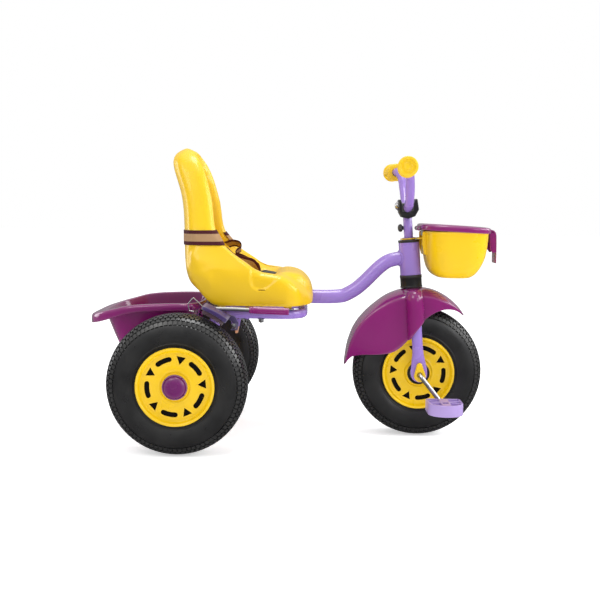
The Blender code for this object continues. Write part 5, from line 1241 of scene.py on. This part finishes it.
lip_line = [(0.3700, 0.4180), (0.3805, 0.4178), (0.3866, 0.4160), (0.3902, 0.4120), (0.3916, 0.4050), (0.3923, 0.3900), (0.3926, 0.3700), (0.3926, 0.3505), (0.3910, 0.3505), (0.3906, 0.3700),
            (0.3901, 0.3900), (0.3893, 0.4030), (0.3876, 0.4096), (0.3842, 0.4130), (0.3795, 0.4146), (0.3700, 0.4150)]
lip = plate("lip", [fillet(lip_line, 0.0008, 2)], 0.041, 0.0007, XZ)
cheeks = [plate("cheek", [fillet([(0.3770, 0.4150), (0.3910, 0.4085), (0.3915, 0.3735), (0.3855, 0.3705), (0.3795, 0.3790)], 0.0020, 3)], 0.0024, 0.0005, at_y(side * 0.0189)) for side in (-1, 1)]
arms = [box("arm", (LID_X - 0.0008, side * 0.022 - 0.0040, 0.4160), (0.2640, side * 0.022 + 0.0040, 0.4207), 0.0008) for side in (-1, 1)]
knuckles = [bar("knuckle", (LID_X, side * 0.022 - 0.0045, LID_Z), (LID_X, side * 0.022 + 0.0045, LID_Z), 0.0044, 30, 0.0004) for side in (-1, 1)]
lid = join(lid, lip, *cheeks, *arms, *knuckles)
lid = cut(lid, bar("c", (LID_X, -0.04, LID_Z), (LID_X, 0.04, LID_Z), 0.0022, 20))
finish_piece(lid, PURPLE, "lid", "basket_lid", sharp=40)


# ---------------------------------------------------------------- seat
BACK_AT = curve_through([(0.268, -0.1665), (0.283, -0.1885), (0.2986, -0.2090), (0.3100, -0.2192), (0.323, -0.2248), (0.345, -0.2292), (0.36, -0.2308), (0.42, -0.2340), (0.456, -0.2370),
                         (0.48, -0.2415), (0.504, -0.2490), (0.525, -0.2560), (0.545, -0.2592), (0.558, -0.2545), (0.566, -0.2450), (0.575, -0.2290)])
WING_AT = curve_through([(0.33, -0.045), (0.3344, -0.0775), (0.3461, -0.0961), (0.3667, -0.1273), (0.3874, -0.1494), (0.4000, -0.1580),
                         (0.4175, -0.1642), (0.4400, -0.1672), (0.4634, -0.1703), (0.4900, -0.1768), (0.5157, -0.1845), (0.5350, -0.1925), (0.5536, -0.2033), (0.566, -0.2115), (0.575, -0.2220)])
WIDE_AT = curve_through([(0.268, 0.1400), (0.30, 0.1440), (0.33, 0.1430), (0.36, 0.1310), (0.39, 0.1195), (0.414, 0.1120), (0.457, 0.1020), (0.50, 0.0900),
                         (0.53, 0.0780), (0.55, 0.0640), (0.563, 0.0440), (0.575, 0.0300)])


def smooth_ring(points, per):
    """Closed curve through the points of one slice."""
    n = len(points)
    ring = []
    for i in range(n):
        p0, p1, p2, p3 = (Vector(points[(i + k - 1) % n]) for k in range(4))
        for k in range(per):
            t = k / per
            ring.append(0.5 * ((2 * p1) + (p2 - p0) * t + (2 * p0 - 5 * p1 + 4 * p2 - p3) * t * t + (3 * p1 - p0 - 3 * p2 + p3) * t ** 3))
    return ring


def back_slice(z, grow=1.0, height=None):
    back, wing, half_y = BACK_AT(z), WING_AT(z), WIDE_AT(z)
    deep = wing - back
    thick = 0.030 + 0.008 * ease((z - 0.45) / 0.1)
    bolster = 0.030 if z < 0.5 else 0.030 - 0.012 * ease((z - 0.5) / 0.055)
    inner_y = max(0.012, half_y - bolster)
    thick += (deep - 0.012 - thick) * ease((z - 0.516) / 0.030) if z > 0.516 else 0.0
    half = [(back + 0.0058, 0.0), (back + 0.0058, half_y * 0.40), (back + 0.0080, half_y * 0.66), (back + 0.016, half_y * 0.88), (back + 0.36 * deep, half_y * 0.985), (back + 0.62 * deep, half_y),
            (wing - 0.010, half_y * 0.985), (wing - 0.0015, half_y - bolster * 0.28), (wing, half_y - bolster * 0.52), (wing - 0.007, inner_y + 0.002),
            (min(back + thick + 0.018, wing - 0.0075), inner_y * 0.95), (min(back + thick + 0.004, wing - 0.0085), inner_y * 0.78), (back + thick - 0.001, inner_y * 0.50), (back + thick - 0.003, 0.0)]
    points = [(x, -y) for x, y in half] + [(x, y) for x, y in half[-2:0:-1]]
    cx = (back + wing) / 2 - 0.004
    h = z if height is None else height
    return smooth_ring([(cx + (x - cx) * grow, y * grow, h) for x, y in points], 5)


slices = [back_slice(z) for z in np.linspace(0.334, 0.560, 47)]
for k in range(1, 9):
    a = k / 9 * math.pi / 2
    z = 0.560 + 0.0108 * math.sin(a)
    slices.append(back_slice(z, max(0.12, math.cos(a) ** 0.75), z))
back_rest = skin("seat_moulded", slices)

STATIONS = [(-0.2080, 0.3180, 0.350, 0.372, 0.080, 0.128), (-0.1950, 0.3000, 0.352, 0.381, 0.084, 0.135), (-0.1800, 0.2830, 0.352, 0.385, 0.087, 0.140), (-0.1620, 0.2690, 0.351, 0.3850, 0.090, 0.1422),
            (-0.1530, 0.2672, 0.349, 0.3850, 0.090, 0.1425), (-0.1273, 0.2672, 0.333, 0.3667, 0.092, 0.1435), (-0.0961, 0.2672, 0.320, 0.3461, 0.094, 0.1440), (-0.0775, 0.2672, 0.3170, 0.3350, 0.096, 0.1440),
            (-0.0531, 0.2672, 0.3200, 0.3308, 0.098, 0.1440), (-0.0346, 0.2672, 0.3312, 0.3275, 0.100, 0.1438), (-0.0135, 0.2672, 0.3325, 0.3155, 0.094, 0.1400),
            (-0.0030, 0.2672, 0.3300, 0.3070, 0.088, 0.1340), (0.0050, 0.2672, 0.3262, 0.3000, 0.082, 0.1225), (0.0120, 0.2672, 0.3202, 0.2960, 0.074, 0.1070),
            (0.0190, 0.2676, 0.3120, 0.2900, 0.064, 0.0940), (0.0240, 0.2684, 0.3010, 0.2840, 0.052, 0.0820), (0.0275, 0.2700, 0.2880, 0.2790, 0.040, 0.0680)]
FIELDS = [curve_through([(row[0], row[k]) for row in STATIONS]) for k in range(1, 6)]


def pan_slice(x, shrink=0.0, at=None):
    low, pan_z, wing_z, y_in, y_out = (field(x) for field in FIELDS)
    low += shrink
    pan_z -= shrink
    wing_z -= shrink
    y_out -= shrink
    rise = wing_z - pan_z
    half = [(0.0, low), (y_out * 0.5, low), (y_out - 0.014, low), (y_out - 0.0045, low + 0.0010), (y_out - 0.0008, low + 0.0060), (y_out, low + 0.35 * (wing_z - low)), (y_out - 0.0002, low + 0.62 * (wing_z - low)),
            (y_out - 0.0016, low + 0.84 * (wing_z - low)), (y_out - 0.0070, wing_z - 0.0040), (y_out - 0.0160, wing_z - 0.0002), (y_out - 0.0260, wing_z - (0.0025 if rise > 0 else 0.10 * rise)), (y_in + 0.006, pan_z + 0.62 * rise),
            (y_in - 0.004, pan_z + 0.20 * rise), (y_in * 0.80, pan_z + (0.0010 if rise > 0 else 0.08 * rise)), (y_in * 0.45, pan_z - 0.0006), (0.0, pan_z - 0.001)]
    half = [(min(y, WIDE_AT(z) - 0.0005) if z > 0.325 else y, z) for y, z in half]
    ring = [(-y, z) for y, z in half] + [(y, z) for y, z in half[-2:0:-1]]
    return smooth_ring([(x if at is None else at, y, z) for y, z in ring], 4)


slices = [pan_slice(float(x)) for x in np.linspace(-0.2080, 0.0200, 70)]
slices += [pan_slice(0.0200 + 0.0070 * math.sin(math.radians(a)), 0.0040 * (1 - math.cos(math.radians(a)))) for a in (15, 30, 45, 60, 75, 88)]
pan = skin("pan", slices)


def rump_slice(z):
    """Level ring that carries the curve of the back down to the underside."""
    back, wide = BACK_AT(z) + 0.0058, WIDE_AT(z)
    half = [(back, 0.0), (back, wide * 0.42), (back + 0.0028, wide * 0.68), (back + 0.0120, wide * 0.88), (back + 0.0330, wide * 0.972), (-0.1640, wide * 0.985), (-0.1540, wide * 0.90),
            (-0.1520, wide * 0.45), (-0.1520, 0.0)]
    return smooth_ring([(x, -y, z) for x, y in half] + [(x, y, z) for x, y in half[-2:0:-1]], 5)


rump = skin("rump", [rump_slice(float(z)) for z in np.linspace(0.2715, 0.3460, 24)])
seat = join(back_rest, pan, rump)
remesh = seat.modifiers.new("r", "REMESH")
remesh.mode = "VOXEL"
remesh.voxel_size = 0.0023
remesh.use_smooth_shade = True
soft = seat.modifiers.new("s", "SMOOTH")
soft.factor = 0.6
soft.iterations = 22
seat = baked(seat)

# hand recess in each flank: a shallow scoop, open towards the top edge
SCOOP = [(-0.0935, 0.3500), (-0.0932, 0.3160), (-0.0905, 0.3065), (-0.0840, 0.3010), (-0.0750, 0.2990), (-0.0655, 0.3005), (-0.0540, 0.3075), (-0.0420, 0.3190), (-0.0330, 0.3300), (-0.0200, 0.3500)]


def scoop_depth(x, z):
    """Distance inside the scoop's outline, in metres; negative outside."""
    inside, near = False, 1.0
    n = len(SCOOP)
    for i in range(n):
        (x1, z1), (x2, z2) = SCOOP[i], SCOOP[(i + 1) % n]
        if (z1 > z) != (z2 > z) and x < (x2 - x1) * (z - z1) / (z2 - z1) + x1:
            inside = not inside
        if i == n - 1:
            continue
        dx, dz = x2 - x1, z2 - z1
        t = min(1.0, max(0.0, ((x - x1) * dx + (z - z1) * dz) / (dx * dx + dz * dz)))
        near = min(near, math.hypot(x - x1 - dx * t, z - z1 - dz * t))
    return near if inside else -near


for v in seat.data.vertices:
    x, y, z = v.co
    if abs(y) > 0.118 and -0.105 < x < -0.012 and 0.288 < z < 0.345:
        d = scoop_depth(x, z)
        k = ease(min(1.0, max(0.0, (d + 0.0012) / 0.0052)))
        fade = 1.0 - 0.75 * ease((x + 0.088) / 0.060)
        v.co.y -= math.copysign(0.0034 * k * (0.35 + 0.65 * fade), y)

hollow_rings = []
for x, low, top, wide in ((-0.190, 0.240, 0.3060, 0.1320), (-0.150, 0.240, 0.3100, 0.1372), (-0.10, 0.240, 0.3050, 0.1382), (-0.04, 0.240, 0.2985, 0.1382),
                          (-0.014, 0.240, 0.2960, 0.1340), (-0.004, 0.240, 0.2940, 0.1260), (0.006, 0.240, 0.2910, 0.1110), (0.0150, 0.240, 0.2860, 0.0900)):
    half = [(0.0, low), (wide, low), (wide, top - 0.012), (wide - 0.003, top - 0.005), (wide - 0.010, top - 0.0005), (wide - 0.016, top), (0.0, top)]
    hollow_rings.append([(x, -y, z) for y, z in half] + [(x, y, z) for y, z in half[-2:0:-1]])
seat = cut(seat, skin("hollow", hollow_rings), box("slot_front", (-0.012, -0.0165, 0.24), (0.060, 0.0165, 0.2972), 0.003),
           box("slot_near", (-0.0775, -0.16, 0.2988), (-0.0650, -0.120, 0.3006), 0.0005), box("slot_far", (-0.0775, 0.120, 0.2988), (-0.0650, 0.16, 0.3006), 0.0005))
bosses = [bar("boss", (x, side * 0.105, 0.2622), (x, side * 0.105, 0.3110), 0.0080, 24, 0.0006) for side in (-1, 1) for x in (-0.150, -0.022)]
ribs = [box("rib", (-0.185, y - 0.0012, 0.2760), (0.012, y + 0.0012, 0.3060), 0.0004) for y in (-0.062, 0.062)]
ribs += [cut(box("rib", (x - 0.0012, -0.130, 0.2760), (x + 0.0012, 0.130, 0.3060), 0.0004), box("notch", (x - 0.0040, -0.0168, 0.2700), (x + 0.0040, 0.0168, 0.2942), 0.0)) for x in (-0.124, -0.050)]
seat = together(join(seat, *bosses), join(*ribs))
bpy.context.view_layer.update()
seat_tree = BVHTree.FromObject(seat, bpy.context.evaluated_depsgraph_get())
finish_piece(seat, SEAT_YELLOW, "seat", "seat_shell", sharp=40)

for side, tag in ((-1, "near"), (1, "far")):
    y = side * 0.105
    outer = fillet([(-0.162, y - 0.011), (-0.010, y - 0.011), (-0.010, y + 0.011), (-0.162, y + 0.011)], 0.005, 5)
    slot = fillet([(-0.122, y - 0.0036), (-0.069, y - 0.0036), (-0.069, y + 0.0036), (-0.122, y + 0.0036)], 0.0034, 5)
    rail = plate(f"seat_rail_{tag}_plated", [outer, slot[::-1]], 0.0026, 0.0004, Matrix.Translation((0, 0, 0.2606)))
    finish_piece(rail, STEEL, "seat", f"seat_rail_{tag}", sharp=30)

# ---------------------------------------------------------------- lap belt
def seat_hit(origin, direction):
    """Where a ray meets the seat, in the layout frame."""
    return seat_tree.ray_cast(Vector(origin), Vector(direction).normalized())[0]


def ribbon(name, rails, thickness, u_start=0.0, across=8, ripple=0.0003):
    """Webbing between two rails of points (upper edge, lower edge, outward normal), with a woven edge and UVs in metres."""
    bm = bmesh.new()
    layer = bm.loops.layers.uv.new("weave")
    rows, lengths, u = [], [], u_start
    previous = None
    for i, (top, low, out) in enumerate(rails):
        centre = (top + low) / 2
        if previous is not None:
            u += (centre - previous).length
        previous = centre
        lengths.append(u)
        row = []
        for k in range(across + 1):
            v = k / across
            p = low.lerp(top, v)
            bulge = thickness / 2 * (1.0 if 0 < k < across else 0.55)
            wave = ripple * math.sin(u * 900 + v * 9) * (1 if k in (0, across) else 0.25)
            row.append((p + out * (bulge + wave), v))
        for k in range(across, -1, -1):
            v = k / across
            p = low.lerp(top, v)
            bulge = thickness / 2 * (1.0 if 0 < k < across else 0.55)
            row.append((p - out * bulge, v))
        rows.append([(bm.verts.new(p), v) for p, v in row])
    n = len(rows[0])
    for i in range(len(rows) - 1):
        for k in range(n):
            a, b, c, d = rows[i][k], rows[i][(k + 1) % n], rows[i + 1][(k + 1) % n], rows[i + 1][k]
            face = bm.faces.new((a[0], b[0], c[0], d[0]))
            for loop, (_, v), uu in zip(face.loops, (a, b, c, d), (lengths[i], lengths[i], lengths[i + 1], lengths[i + 1])):
                loop[layer].uv = (uu, v)
    for row, uu, flip in ((rows[0], lengths[0], True), (rows[-1], lengths[-1], False)):
        face = bm.faces.new([v for v, _ in (row[::-1] if flip else row)])
        for loop, (_, v) in zip(face.loops, row[::-1] if flip else row):
            loop[layer].uv = (uu, v)
    return new_object(name, bm)


def wrap_rays(z):
    """Rays that follow the outside of the seat at one height, from inside the near wing round the back to inside the far one."""
    back, wing, half_y = BACK_AT(z), WING_AT(z), WIDE_AT(z)
    tip = (wing - 0.0135, half_y - 0.0140)
    corner = (back + 0.036, half_y - 0.034)
    rays = []
    for a in np.linspace(62, -84, 15):
        rays.append(((tip[0], -tip[1]), (math.cos(math.radians(a)), math.sin(math.radians(a)))))
    for x in np.linspace(tip[0] - 0.003, corner[0] + 0.002, 6):
        rays.append(((x, -corner[1]), (0.0, -1.0)))
    for a in np.linspace(-96, -174, 9):
        rays.append(((corner[0], -corner[1]), (math.cos(math.radians(a)), math.sin(math.radians(a)))))
    for y in np.linspace(-corner[1] + 0.004, 0.0, 7):
        rays.append(((corner[0], y), (-1.0, 0.0)))
    return rays + [((cx, -cy), (dx, -dy)) for (cx, cy), (dx, dy) in rays[-2::-1]]


BELT_Z, BELT_W = 0.3972, 0.0280
rails = []
count = len(wrap_rays(BELT_Z))
for i in range(count):
    u = i / (count - 1)
    level = BELT_Z - 0.0020 * math.sin(math.pi * min(1.0, u * 1.2)) - 0.0100 * ease(max(0.0, (u - 0.55) / 0.45))
    (c1, d1), (c2, d2) = wrap_rays(level + BELT_W / 2)[i], wrap_rays(level - BELT_W / 2)[i]
    out1, out2 = Vector((d1[0], d1[1], 0.0)), Vector((d2[0], d2[1], 0.0))
    hit1 = seat_hit(Vector((c1[0], c1[1], level + BELT_W / 2)) + out1 * 0.09, -out1)
    hit2 = seat_hit(Vector((c2[0], c2[1], level - BELT_W / 2)) + out2 * 0.09, -out2)
    if hit1 is None or hit2 is None:
        continue
    out = (out1 + out2).normalized()
    rails.append((hit1 + out * 0.0016, hit2 + out * 0.0016, out))
rails = [tuple(sum((rails[min(max(i + k, 0), len(rails) - 1)][j] for k in (-1, 0, 1)), Vector()) / 3 for j in range(3)) for i in range(len(rails))]
belt = ribbon("belt_strap_webbing", rails, 0.0015)
finish_piece(belt, BELT, "seat", "belt_back_strap", sharp=60)

BELT_NEAR = [(-0.1520, -0.0660, 0.3700), (-0.1340, -0.0560, 0.3540), (-0.1140, -0.0460, 0.3480), (-0.0970, -0.0390, 0.3430), (-0.0870, -0.0355, 0.3345), (-0.0815, -0.0330, 0.3270)]
BELT_FAR = [(-0.1540, 0.0680, 0.3760), (-0.1400, 0.0620, 0.3800), (-0.1270, 0.0570, 0.3770), (-0.1240, 0.0530, 0.3690), (-0.1330, 0.0490, 0.3615), (-0.1330, 0.0460, 0.3550),
            (-0.1200, 0.0430, 0.3510), (-0.1020, 0.0385, 0.3425), (-0.0870, 0.0355, 0.3340), (-0.0815, 0.0330, 0.3270)]
for side, tag, pts in ((-1, "near", BELT_NEAR), (1, "far", BELT_FAR)):
    ups = [Vector((0.0, -0.50, 0.86))] * len(pts) if side < 0 else [Vector((0.10, -0.82, 0.56))] * len(pts)
    ups[-2:] = [Vector((0.0, -0.80, 0.60)), Vector((0.0, -0.95, 0.30))]
    line = smooth_points(pts, 8)
    edges = []
    for i, p in enumerate(line):
        s = i / (len(line) - 1) * (len(pts) - 1)
        k = min(int(s), len(pts) - 2)
        w = ups[k].lerp(ups[k + 1], s - k)
        t = (line[min(i + 1, len(line) - 1)] - line[max(i - 1, 0)]).normalized()
        w = (w - t * w.dot(t)).normalized()
        edges.append((p + w * 0.0120, p - w * 0.0120, t.cross(w).normalized()))
    finish_piece(ribbon(f"belt_end_{tag}_webbing", edges, 0.0016, ripple=0.0002), BELT, "seat", f"belt_end_{tag}", sharp=60)
    m = Matrix.Translation((-0.0650, side * 0.0270, 0.3205)) @ Matrix.Rotation(-side * math.radians(20), 4, "Z") @ Matrix.Rotation(math.radians(8), 4, "Y")
    frame_out = fillet([(-0.0130, -0.0160), (-0.0050, -0.0160), (0.0080, -0.0145), (0.0150, -0.0105), (0.0150, 0.0105), (0.0080, 0.0145), (-0.0050, 0.0160), (-0.0130, 0.0160)], 0.0035, 4)
    slot_in = fillet([(-0.0105, -0.0125), (-0.0065, -0.0125), (-0.0065, 0.0125), (-0.0105, 0.0125)], 0.0015, 3)
    buckle = plate(f"belt_buckle_{tag}_moulded", [frame_out, slot_in[::-1]], 0.0080, 0.0012, m, 3)
    if side < 0:
        mouth = box("mouth", (0.0060, -0.0085, -0.0022), (0.0200, 0.0085, 0.0022), 0.0006, m)
        button = box("button", (-0.0020, -0.0060, 0.0036), (0.0060, 0.0060, 0.0046), 0.0008, m)
        buckle = join(cut(buckle, mouth), button)
    else:
        ridge = [box("ridge", (-0.0030 + 0.0028 * k, -0.0090, 0.0034), (-0.0016 + 0.0028 * k, 0.0090, 0.0045), 0.0004, m) for k in range(4)]
        buckle = join(buckle, *ridge)
    finish_piece(buckle, BLACK, "seat", f"belt_buckle_{tag}", sharp=30)

# ---------------------------------------------------------------- tub
RIM_AT = curve_through([(-0.4300, 0.2272), (-0.4186, 0.2352), (-0.4108, 0.2406), (-0.3994, 0.2452), (-0.3850, 0.2492), (-0.3700, 0.2534), (-0.3500, 0.2585), (-0.3325, 0.2632), (-0.3000, 0.2675),
                        (-0.2600, 0.2697), (-0.1850, 0.2705), (-0.16, 0.2705)])
TN = 144


def tub_plan(inset, n=TN):
    rear, front, wide = -0.4132 + inset * (1 + 0.9 * ease((inset - 0.005) / 0.009)), -0.1840 - inset * 0.55, 0.1430 - inset
    spots = []
    for k in range(n):
        t = 2 * math.pi * (k + 0.5) / n
        c, s = math.cos(t), math.sin(t)
        if c > 0:
            spots.append((-0.2900 + (front + 0.2900) * abs(c) ** 0.32, wide * math.copysign(abs(s) ** 0.40, s)))
        else:
            spots.append((-0.2900 - (-0.2900 - rear) * abs(c) ** 0.80, wide * math.copysign(abs(s) ** 0.62, s)))
    return spots


def rim_row(inset, drop):
    return [(x, y, RIM_AT(x) - (drop * (1.42 - 0.42 * ease((x + 0.4000) / 0.110)) if drop > 0.0050 else drop)) for x, y in tub_plan(inset)]


def wall_row(inset, u):
    ring = []
    rear, front, wide = -0.3350, -0.2300, 0.0980
    for k, (x, y) in enumerate(tub_plan(0.0140 + inset)):
        t = 2 * math.pi * (k + 0.5) / TN
        c, s = math.cos(t), math.sin(t)
        if c > 0:
            fx, fy = -0.2820 + (front - inset + 0.2820) * abs(c) ** 0.32, (wide - inset) * math.copysign(abs(s) ** 0.40, s)
        else:
            fx, fy = -0.2820 - (-0.2820 - (rear + inset)) * abs(c) ** 0.60, (wide - inset) * math.copysign(abs(s) ** 0.50, s)
        zr, zf = RIM_AT(x) - 0.0020, 0.1600 + (0.0032 if inset else 0.0)
        ring.append((x + (fx - x) * u ** 0.9, y + (fy - y) * u ** 1.3, zr + (zf - zr) * math.sin(u * math.pi / 2)))
    return ring


top_rows = [rim_row(0.0042, 0.0126), rim_row(0.0030, 0.0132), rim_row(0.0014, 0.0130), rim_row(0.0002, 0.0120), rim_row(0.0, 0.0105), rim_row(0.0, 0.0070), rim_row(0.0002, 0.0042),
        rim_row(0.0010, 0.0020), rim_row(0.0024, 0.0006), rim_row(0.0044, 0.0), rim_row(0.0075, -0.0004), rim_row(0.0110, -0.0005), rim_row(0.0140, 0.0000), rim_row(0.0162, 0.0014)]
top_rows += [wall_row(0.0032, u) for u in (0.06, 0.12, 0.19, 0.26, 0.34, 0.42, 0.50, 0.58, 0.66, 0.74, 0.81, 0.87, 0.92, 0.96, 0.985, 1.0)]
floor_in = top_rows[-1]


def towards(ring, k, dz=0.0):
    cx, cy = -0.2830, 0.0
    return [(cx + (x - cx) * k, cy + (y - cy) * k, z + dz) for x, y, z in ring]


top_rows += [towards(floor_in, 0.97, -0.0002), towards(floor_in, 0.90), towards(floor_in, 0.60), towards(floor_in, 0.30), towards(floor_in, 0.08)]
floor_out = wall_row(0.0, 1.0)
low_rows = [towards(floor_out, 0.08), towards(floor_out, 0.30), towards(floor_out, 0.60), towards(floor_out, 0.90), towards(floor_out, 0.97, 0.0002)]
low_rows += [wall_row(0.0, u) for u in (1.0, 0.985, 0.96, 0.92, 0.87, 0.81, 0.74, 0.66, 0.58, 0.50, 0.42, 0.34, 0.26, 0.19, 0.12, 0.07)]
low_rows += [rim_row(0.0150, 0.0046), rim_row(0.0128, 0.0034), rim_row(0.0090, 0.0031), rim_row(0.0060, 0.0032), rim_row(0.0046, 0.0040), rim_row(0.0038, 0.0060), rim_row(0.0036, 0.0090)]
tub = skin("tub_moulded", low_rows + top_rows)
tub = join(tub, bar("peg", (-0.2000, -0.1280, 0.2625), (-0.2000, -0.1440, 0.2625), 0.0030, 24, 0.0007))
finish_piece(tub, PURPLE, "tub", "tub_shell", sharp=40)
for side, tag in ((-1, "near"), (1, "far")):
    y = side * 0.070
    shape = arc(REAR_X, WHEEL_R, 0.0130, -170, 60, 28) + [(REAR_X + 0.0050, 0.1530), (REAR_X + 0.0030, 0.1570), (REAR_X - 0.0150, 0.1597), (REAR_X - 0.075, 0.1597), (REAR_X - 0.075, 0.1565), (REAR_X - 0.026, 0.1550)]
    hinge = plate(f"tub_hinge_{tag}_plated", [shape], 0.014, 0.0006, at_y(y))
    hinge = cut(hinge, bar("a", (REAR_X, y - 0.02, WHEEL_R), (REAR_X, y + 0.02, WHEEL_R), 0.0065, 40))
    rivets = [lathe("rivet", [(0.0, 0.0), (0.0030, 0.0), (0.0029, 0.0008), (0.0018, 0.0015), (0.0, 0.0017)], 20, (REAR_X - x, y, 0.1567), (0, 0, -1)) for x in (0.038, 0.062)]
    finish_piece(together(hinge, *rivets), DULL, "tub", f"tub_hinge_{tag}", sharp=30)

# ---------------------------------------------------------------- latch
line = cornered([(-0.17, -0.1385, 0.265), (-0.17, -0.1470, 0.265), (-0.1806, -0.1470, 0.2658), (-0.1996, -0.1470, 0.2838), (-0.2094, -0.1470, 0.2716), (-0.2070, -0.1470, 0.2585), (-0.1985, -0.1470, 0.2572)], 0.0022, 7)
wire = sweep("latch_wire_plated", resampled(line, 0.0008), 0.0010, 14, cap_round=0.0005)
finish_piece(wire, STEEL, "tub_latch", "latch_wire", sharp=0)
shape = fillet([(-0.1800, 0.2575), (-0.1600, 0.2555), (-0.1600, 0.2605), (-0.1650, 0.2700), (-0.1745, 0.2700), (-0.1800, 0.2640)], 0.0016, 3)
bracket = plate("latch_bracket_plated", [shape], 0.0030, 0.0004, at_y(-0.1420))
bracket = join(bracket, box("arm", (-0.1780, -0.1425, 0.2560), (-0.1620, -0.1030, 0.2590), 0.0004))
bracket = cut(bracket, bar("a", (-0.2110, -UY, 0.1480), (-0.1560, -UY, 0.2500), 0.0096, 32), bar("b", (-0.2, -UY, UZ), (0.0, -UY, UZ), 0.0096, 32),
              box("c", (-0.185, -0.1160, 0.2), (-0.155, -0.09, 0.2598)), bar("d", (LATCH_X, -0.150, LATCH_Z), (LATCH_X, -0.13, LATCH_Z), 0.0018, 18))
finish_piece(bracket, LILAC, "frame", "latch_bracket", sharp=30)

# ---------------------------------------------------------------- wheel retainers: toothed push nuts
for side, tag in ((-1, "near"), (1, "far")):
    ring = lathe(f"rear_wheel_{tag}_retainer_plated", [(0.0124, 0.0002), (0.0124, -0.0009), (0.0108, -0.0010), (0.0085, 0.0002), (0.0066, 0.0007), (0.0064, 0.0010), (0.0070, 0.0014), (0.0088, 0.0010), (0.0110, 0.0001)],
                 48, (REAR_X, side * REAR_Y + side * 0.0434, WHEEL_R), (0, side, 0))
    finish_piece(ring, DULL, f"rear_wheel_{tag}", f"rear_wheel_{tag}_retainer", sharp=30)

# ---------------------------------------------------------------- brake
shaft = bar("brake_shaft_plated", (BRAKE_X, -0.1560, BRAKE_Z), (BRAKE_X, 0.1560, BRAKE_Z), 0.0050, 32, 0.0008)
collar = bar("collar", (BRAKE_X, -0.0105, BRAKE_Z), (BRAKE_X, 0.0105, BRAKE_Z), 0.0066, 32, 0.0008)
finish_piece(together(shaft, collar), STEEL, "brake", "brake_shaft", sharp=30)
# brake tongue under the shaft, coloured with the painted reflection orange
shape = fillet([(BRAKE_X - 0.0092, 0.2310), (BRAKE_X + 0.0002, 0.2330), (BRAKE_X + 0.0012, 0.2200), (BRAKE_X - 0.0030, 0.1995), (BRAKE_X - 0.0076, 0.1990), (BRAKE_X - 0.0102, 0.2150)], 0.0016, 3)
tongue = plate("brake_tongue_moulded", [shape], 0.012, 0.0010, at_y(0.0), 3)
finish_piece(tongue, PAINTED_REFLECTION_AMBER, "brake", sharp=30)


def polar(angle, r):
    return (REAR_X + r * math.cos(math.radians(angle)), WHEEL_R + r * math.sin(math.radians(angle)))


LEVER = [(-0.1580, -0.1680, 0.2658), (-0.1200, -0.1680, 0.2654), (-0.0890, -0.1680, 0.2643), (-0.0300, -0.1680, 0.2628)]
lever_line = resampled(smooth_points(LEVER, 8), 0.0025)
for side, tag in ((-1, "near"), (1, "far")):
    fine = [52.5 + 19.5 * k / 14 for k in range(15)]
    shape = [polar(a, 0.1440 + 0.0030 * (a - 46) / 29) for a in fine] + [polar(a, 0.1535) for a in fine[::-1]]
    shoe = plate(f"brake_shoe_{tag}_moulded", [shape], 0.062, 0.0016, at_y(side * 0.1930), 3)
    web = plate("web", [fillet([polar(47.5, 0.1465), polar(59, 0.1475), polar(58, 0.1510), polar(50, 0.158), (BRAKE_X + 0.009, BRAKE_Z + 0.006), (BRAKE_X + 0.008, BRAKE_Z - 0.008),
                                (BRAKE_X - 0.006, BRAKE_Z - 0.0085)], 0.0012, 2)], 0.0050, 0.0007, at_y(side * 0.1600))
    tools = [bar("a", (BRAKE_X, side * 0.150, BRAKE_Z), (BRAKE_X, side * 0.170, BRAKE_Z), 0.0053, 32)]
    if side < 0:
        tools.append(sweep("b", lever_line, 0.0039, 20))
    shoe = together(shoe, cut(web, *tools))
    finish_piece(shoe, SHOE_LILAC, "brake", f"brake_shoe_{tag}", sharp=30)
    shape = [polar(a, 0.1358 + 0.0042 * (a - 46) / 29) for a in np.linspace(53.5, 71, 22)] + [polar(a, 0.1437 + 0.0029 * (a - 46) / 29) for a in np.linspace(71, 53.5, 22)]
    pad = plate(f"brake_pad_{tag}_moulded", [shape], 0.052, 0.0010, at_y(side * 0.1950), 2)
    grooves = [box("g", (-0.003, side * 0.1950 - 0.03, -0.0007), (0.0014, side * 0.1950 + 0.03, 0.0007), 0.0, Matrix.Translation((polar(a, 0.1358 + 0.0042 * (a - 46) / 29)[0], 0, polar(a, 0.1358 + 0.0042 * (a - 46) / 29)[1])) @ Matrix.Rotation(-math.radians(a), 4, "Y"))
               for a in (57, 61, 65, 68)]
    pad = cut(pad, *grooves)
    finish_piece(pad, PAD, "brake", f"brake_pad_{tag}", sharp=30)
rod_piece = sweep("brake_rod_plated", lever_line, 0.0036, 24, cap_round=0.0010)
finish_piece(rod_piece, ROD, "brake", "brake_rod", sharp=0)
HANDLE = [(-0.0915, -0.1680, 0.26436), (-0.0830, -0.1680, 0.26414), (-0.0240, -0.1680, 0.26265), (-0.0190, -0.1680, 0.26252)]
handle_line = resampled(smooth_points(HANDLE, 8), 0.0012)


def handle_size(i, n):
    s = i * 0.0012
    e = (n - 1 - i) * 0.0012
    r = 0.0066 * (1.0 - 0.16 * ease(max(0.0, 1 - e / 0.0030)) - 0.10 * ease(max(0.0, 1 - s / 0.0016)))
    if 0.0030 < s < 0.0052:
        r -= 0.0006
    return r, r


handle = sweep("brake_handle_moulded", handle_line, handle_size, 32, cap_round=0.0012)
ribs = [sweep("rib", [Vector(p) + Vector((0, math.cos(t) * 0.0063, math.sin(t) * 0.0063)) for p in handle_line[12:-6:4]], 0.0006, 8) for t in [math.radians(45 * k + 22.5) for k in range(8)]]
handle = cut(handle, sweep("c", lever_line, 0.0039, 24))
finish_piece(together(handle, *ribs), PURPLE, "brake", "brake_handle", sharp=40)

low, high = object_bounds()
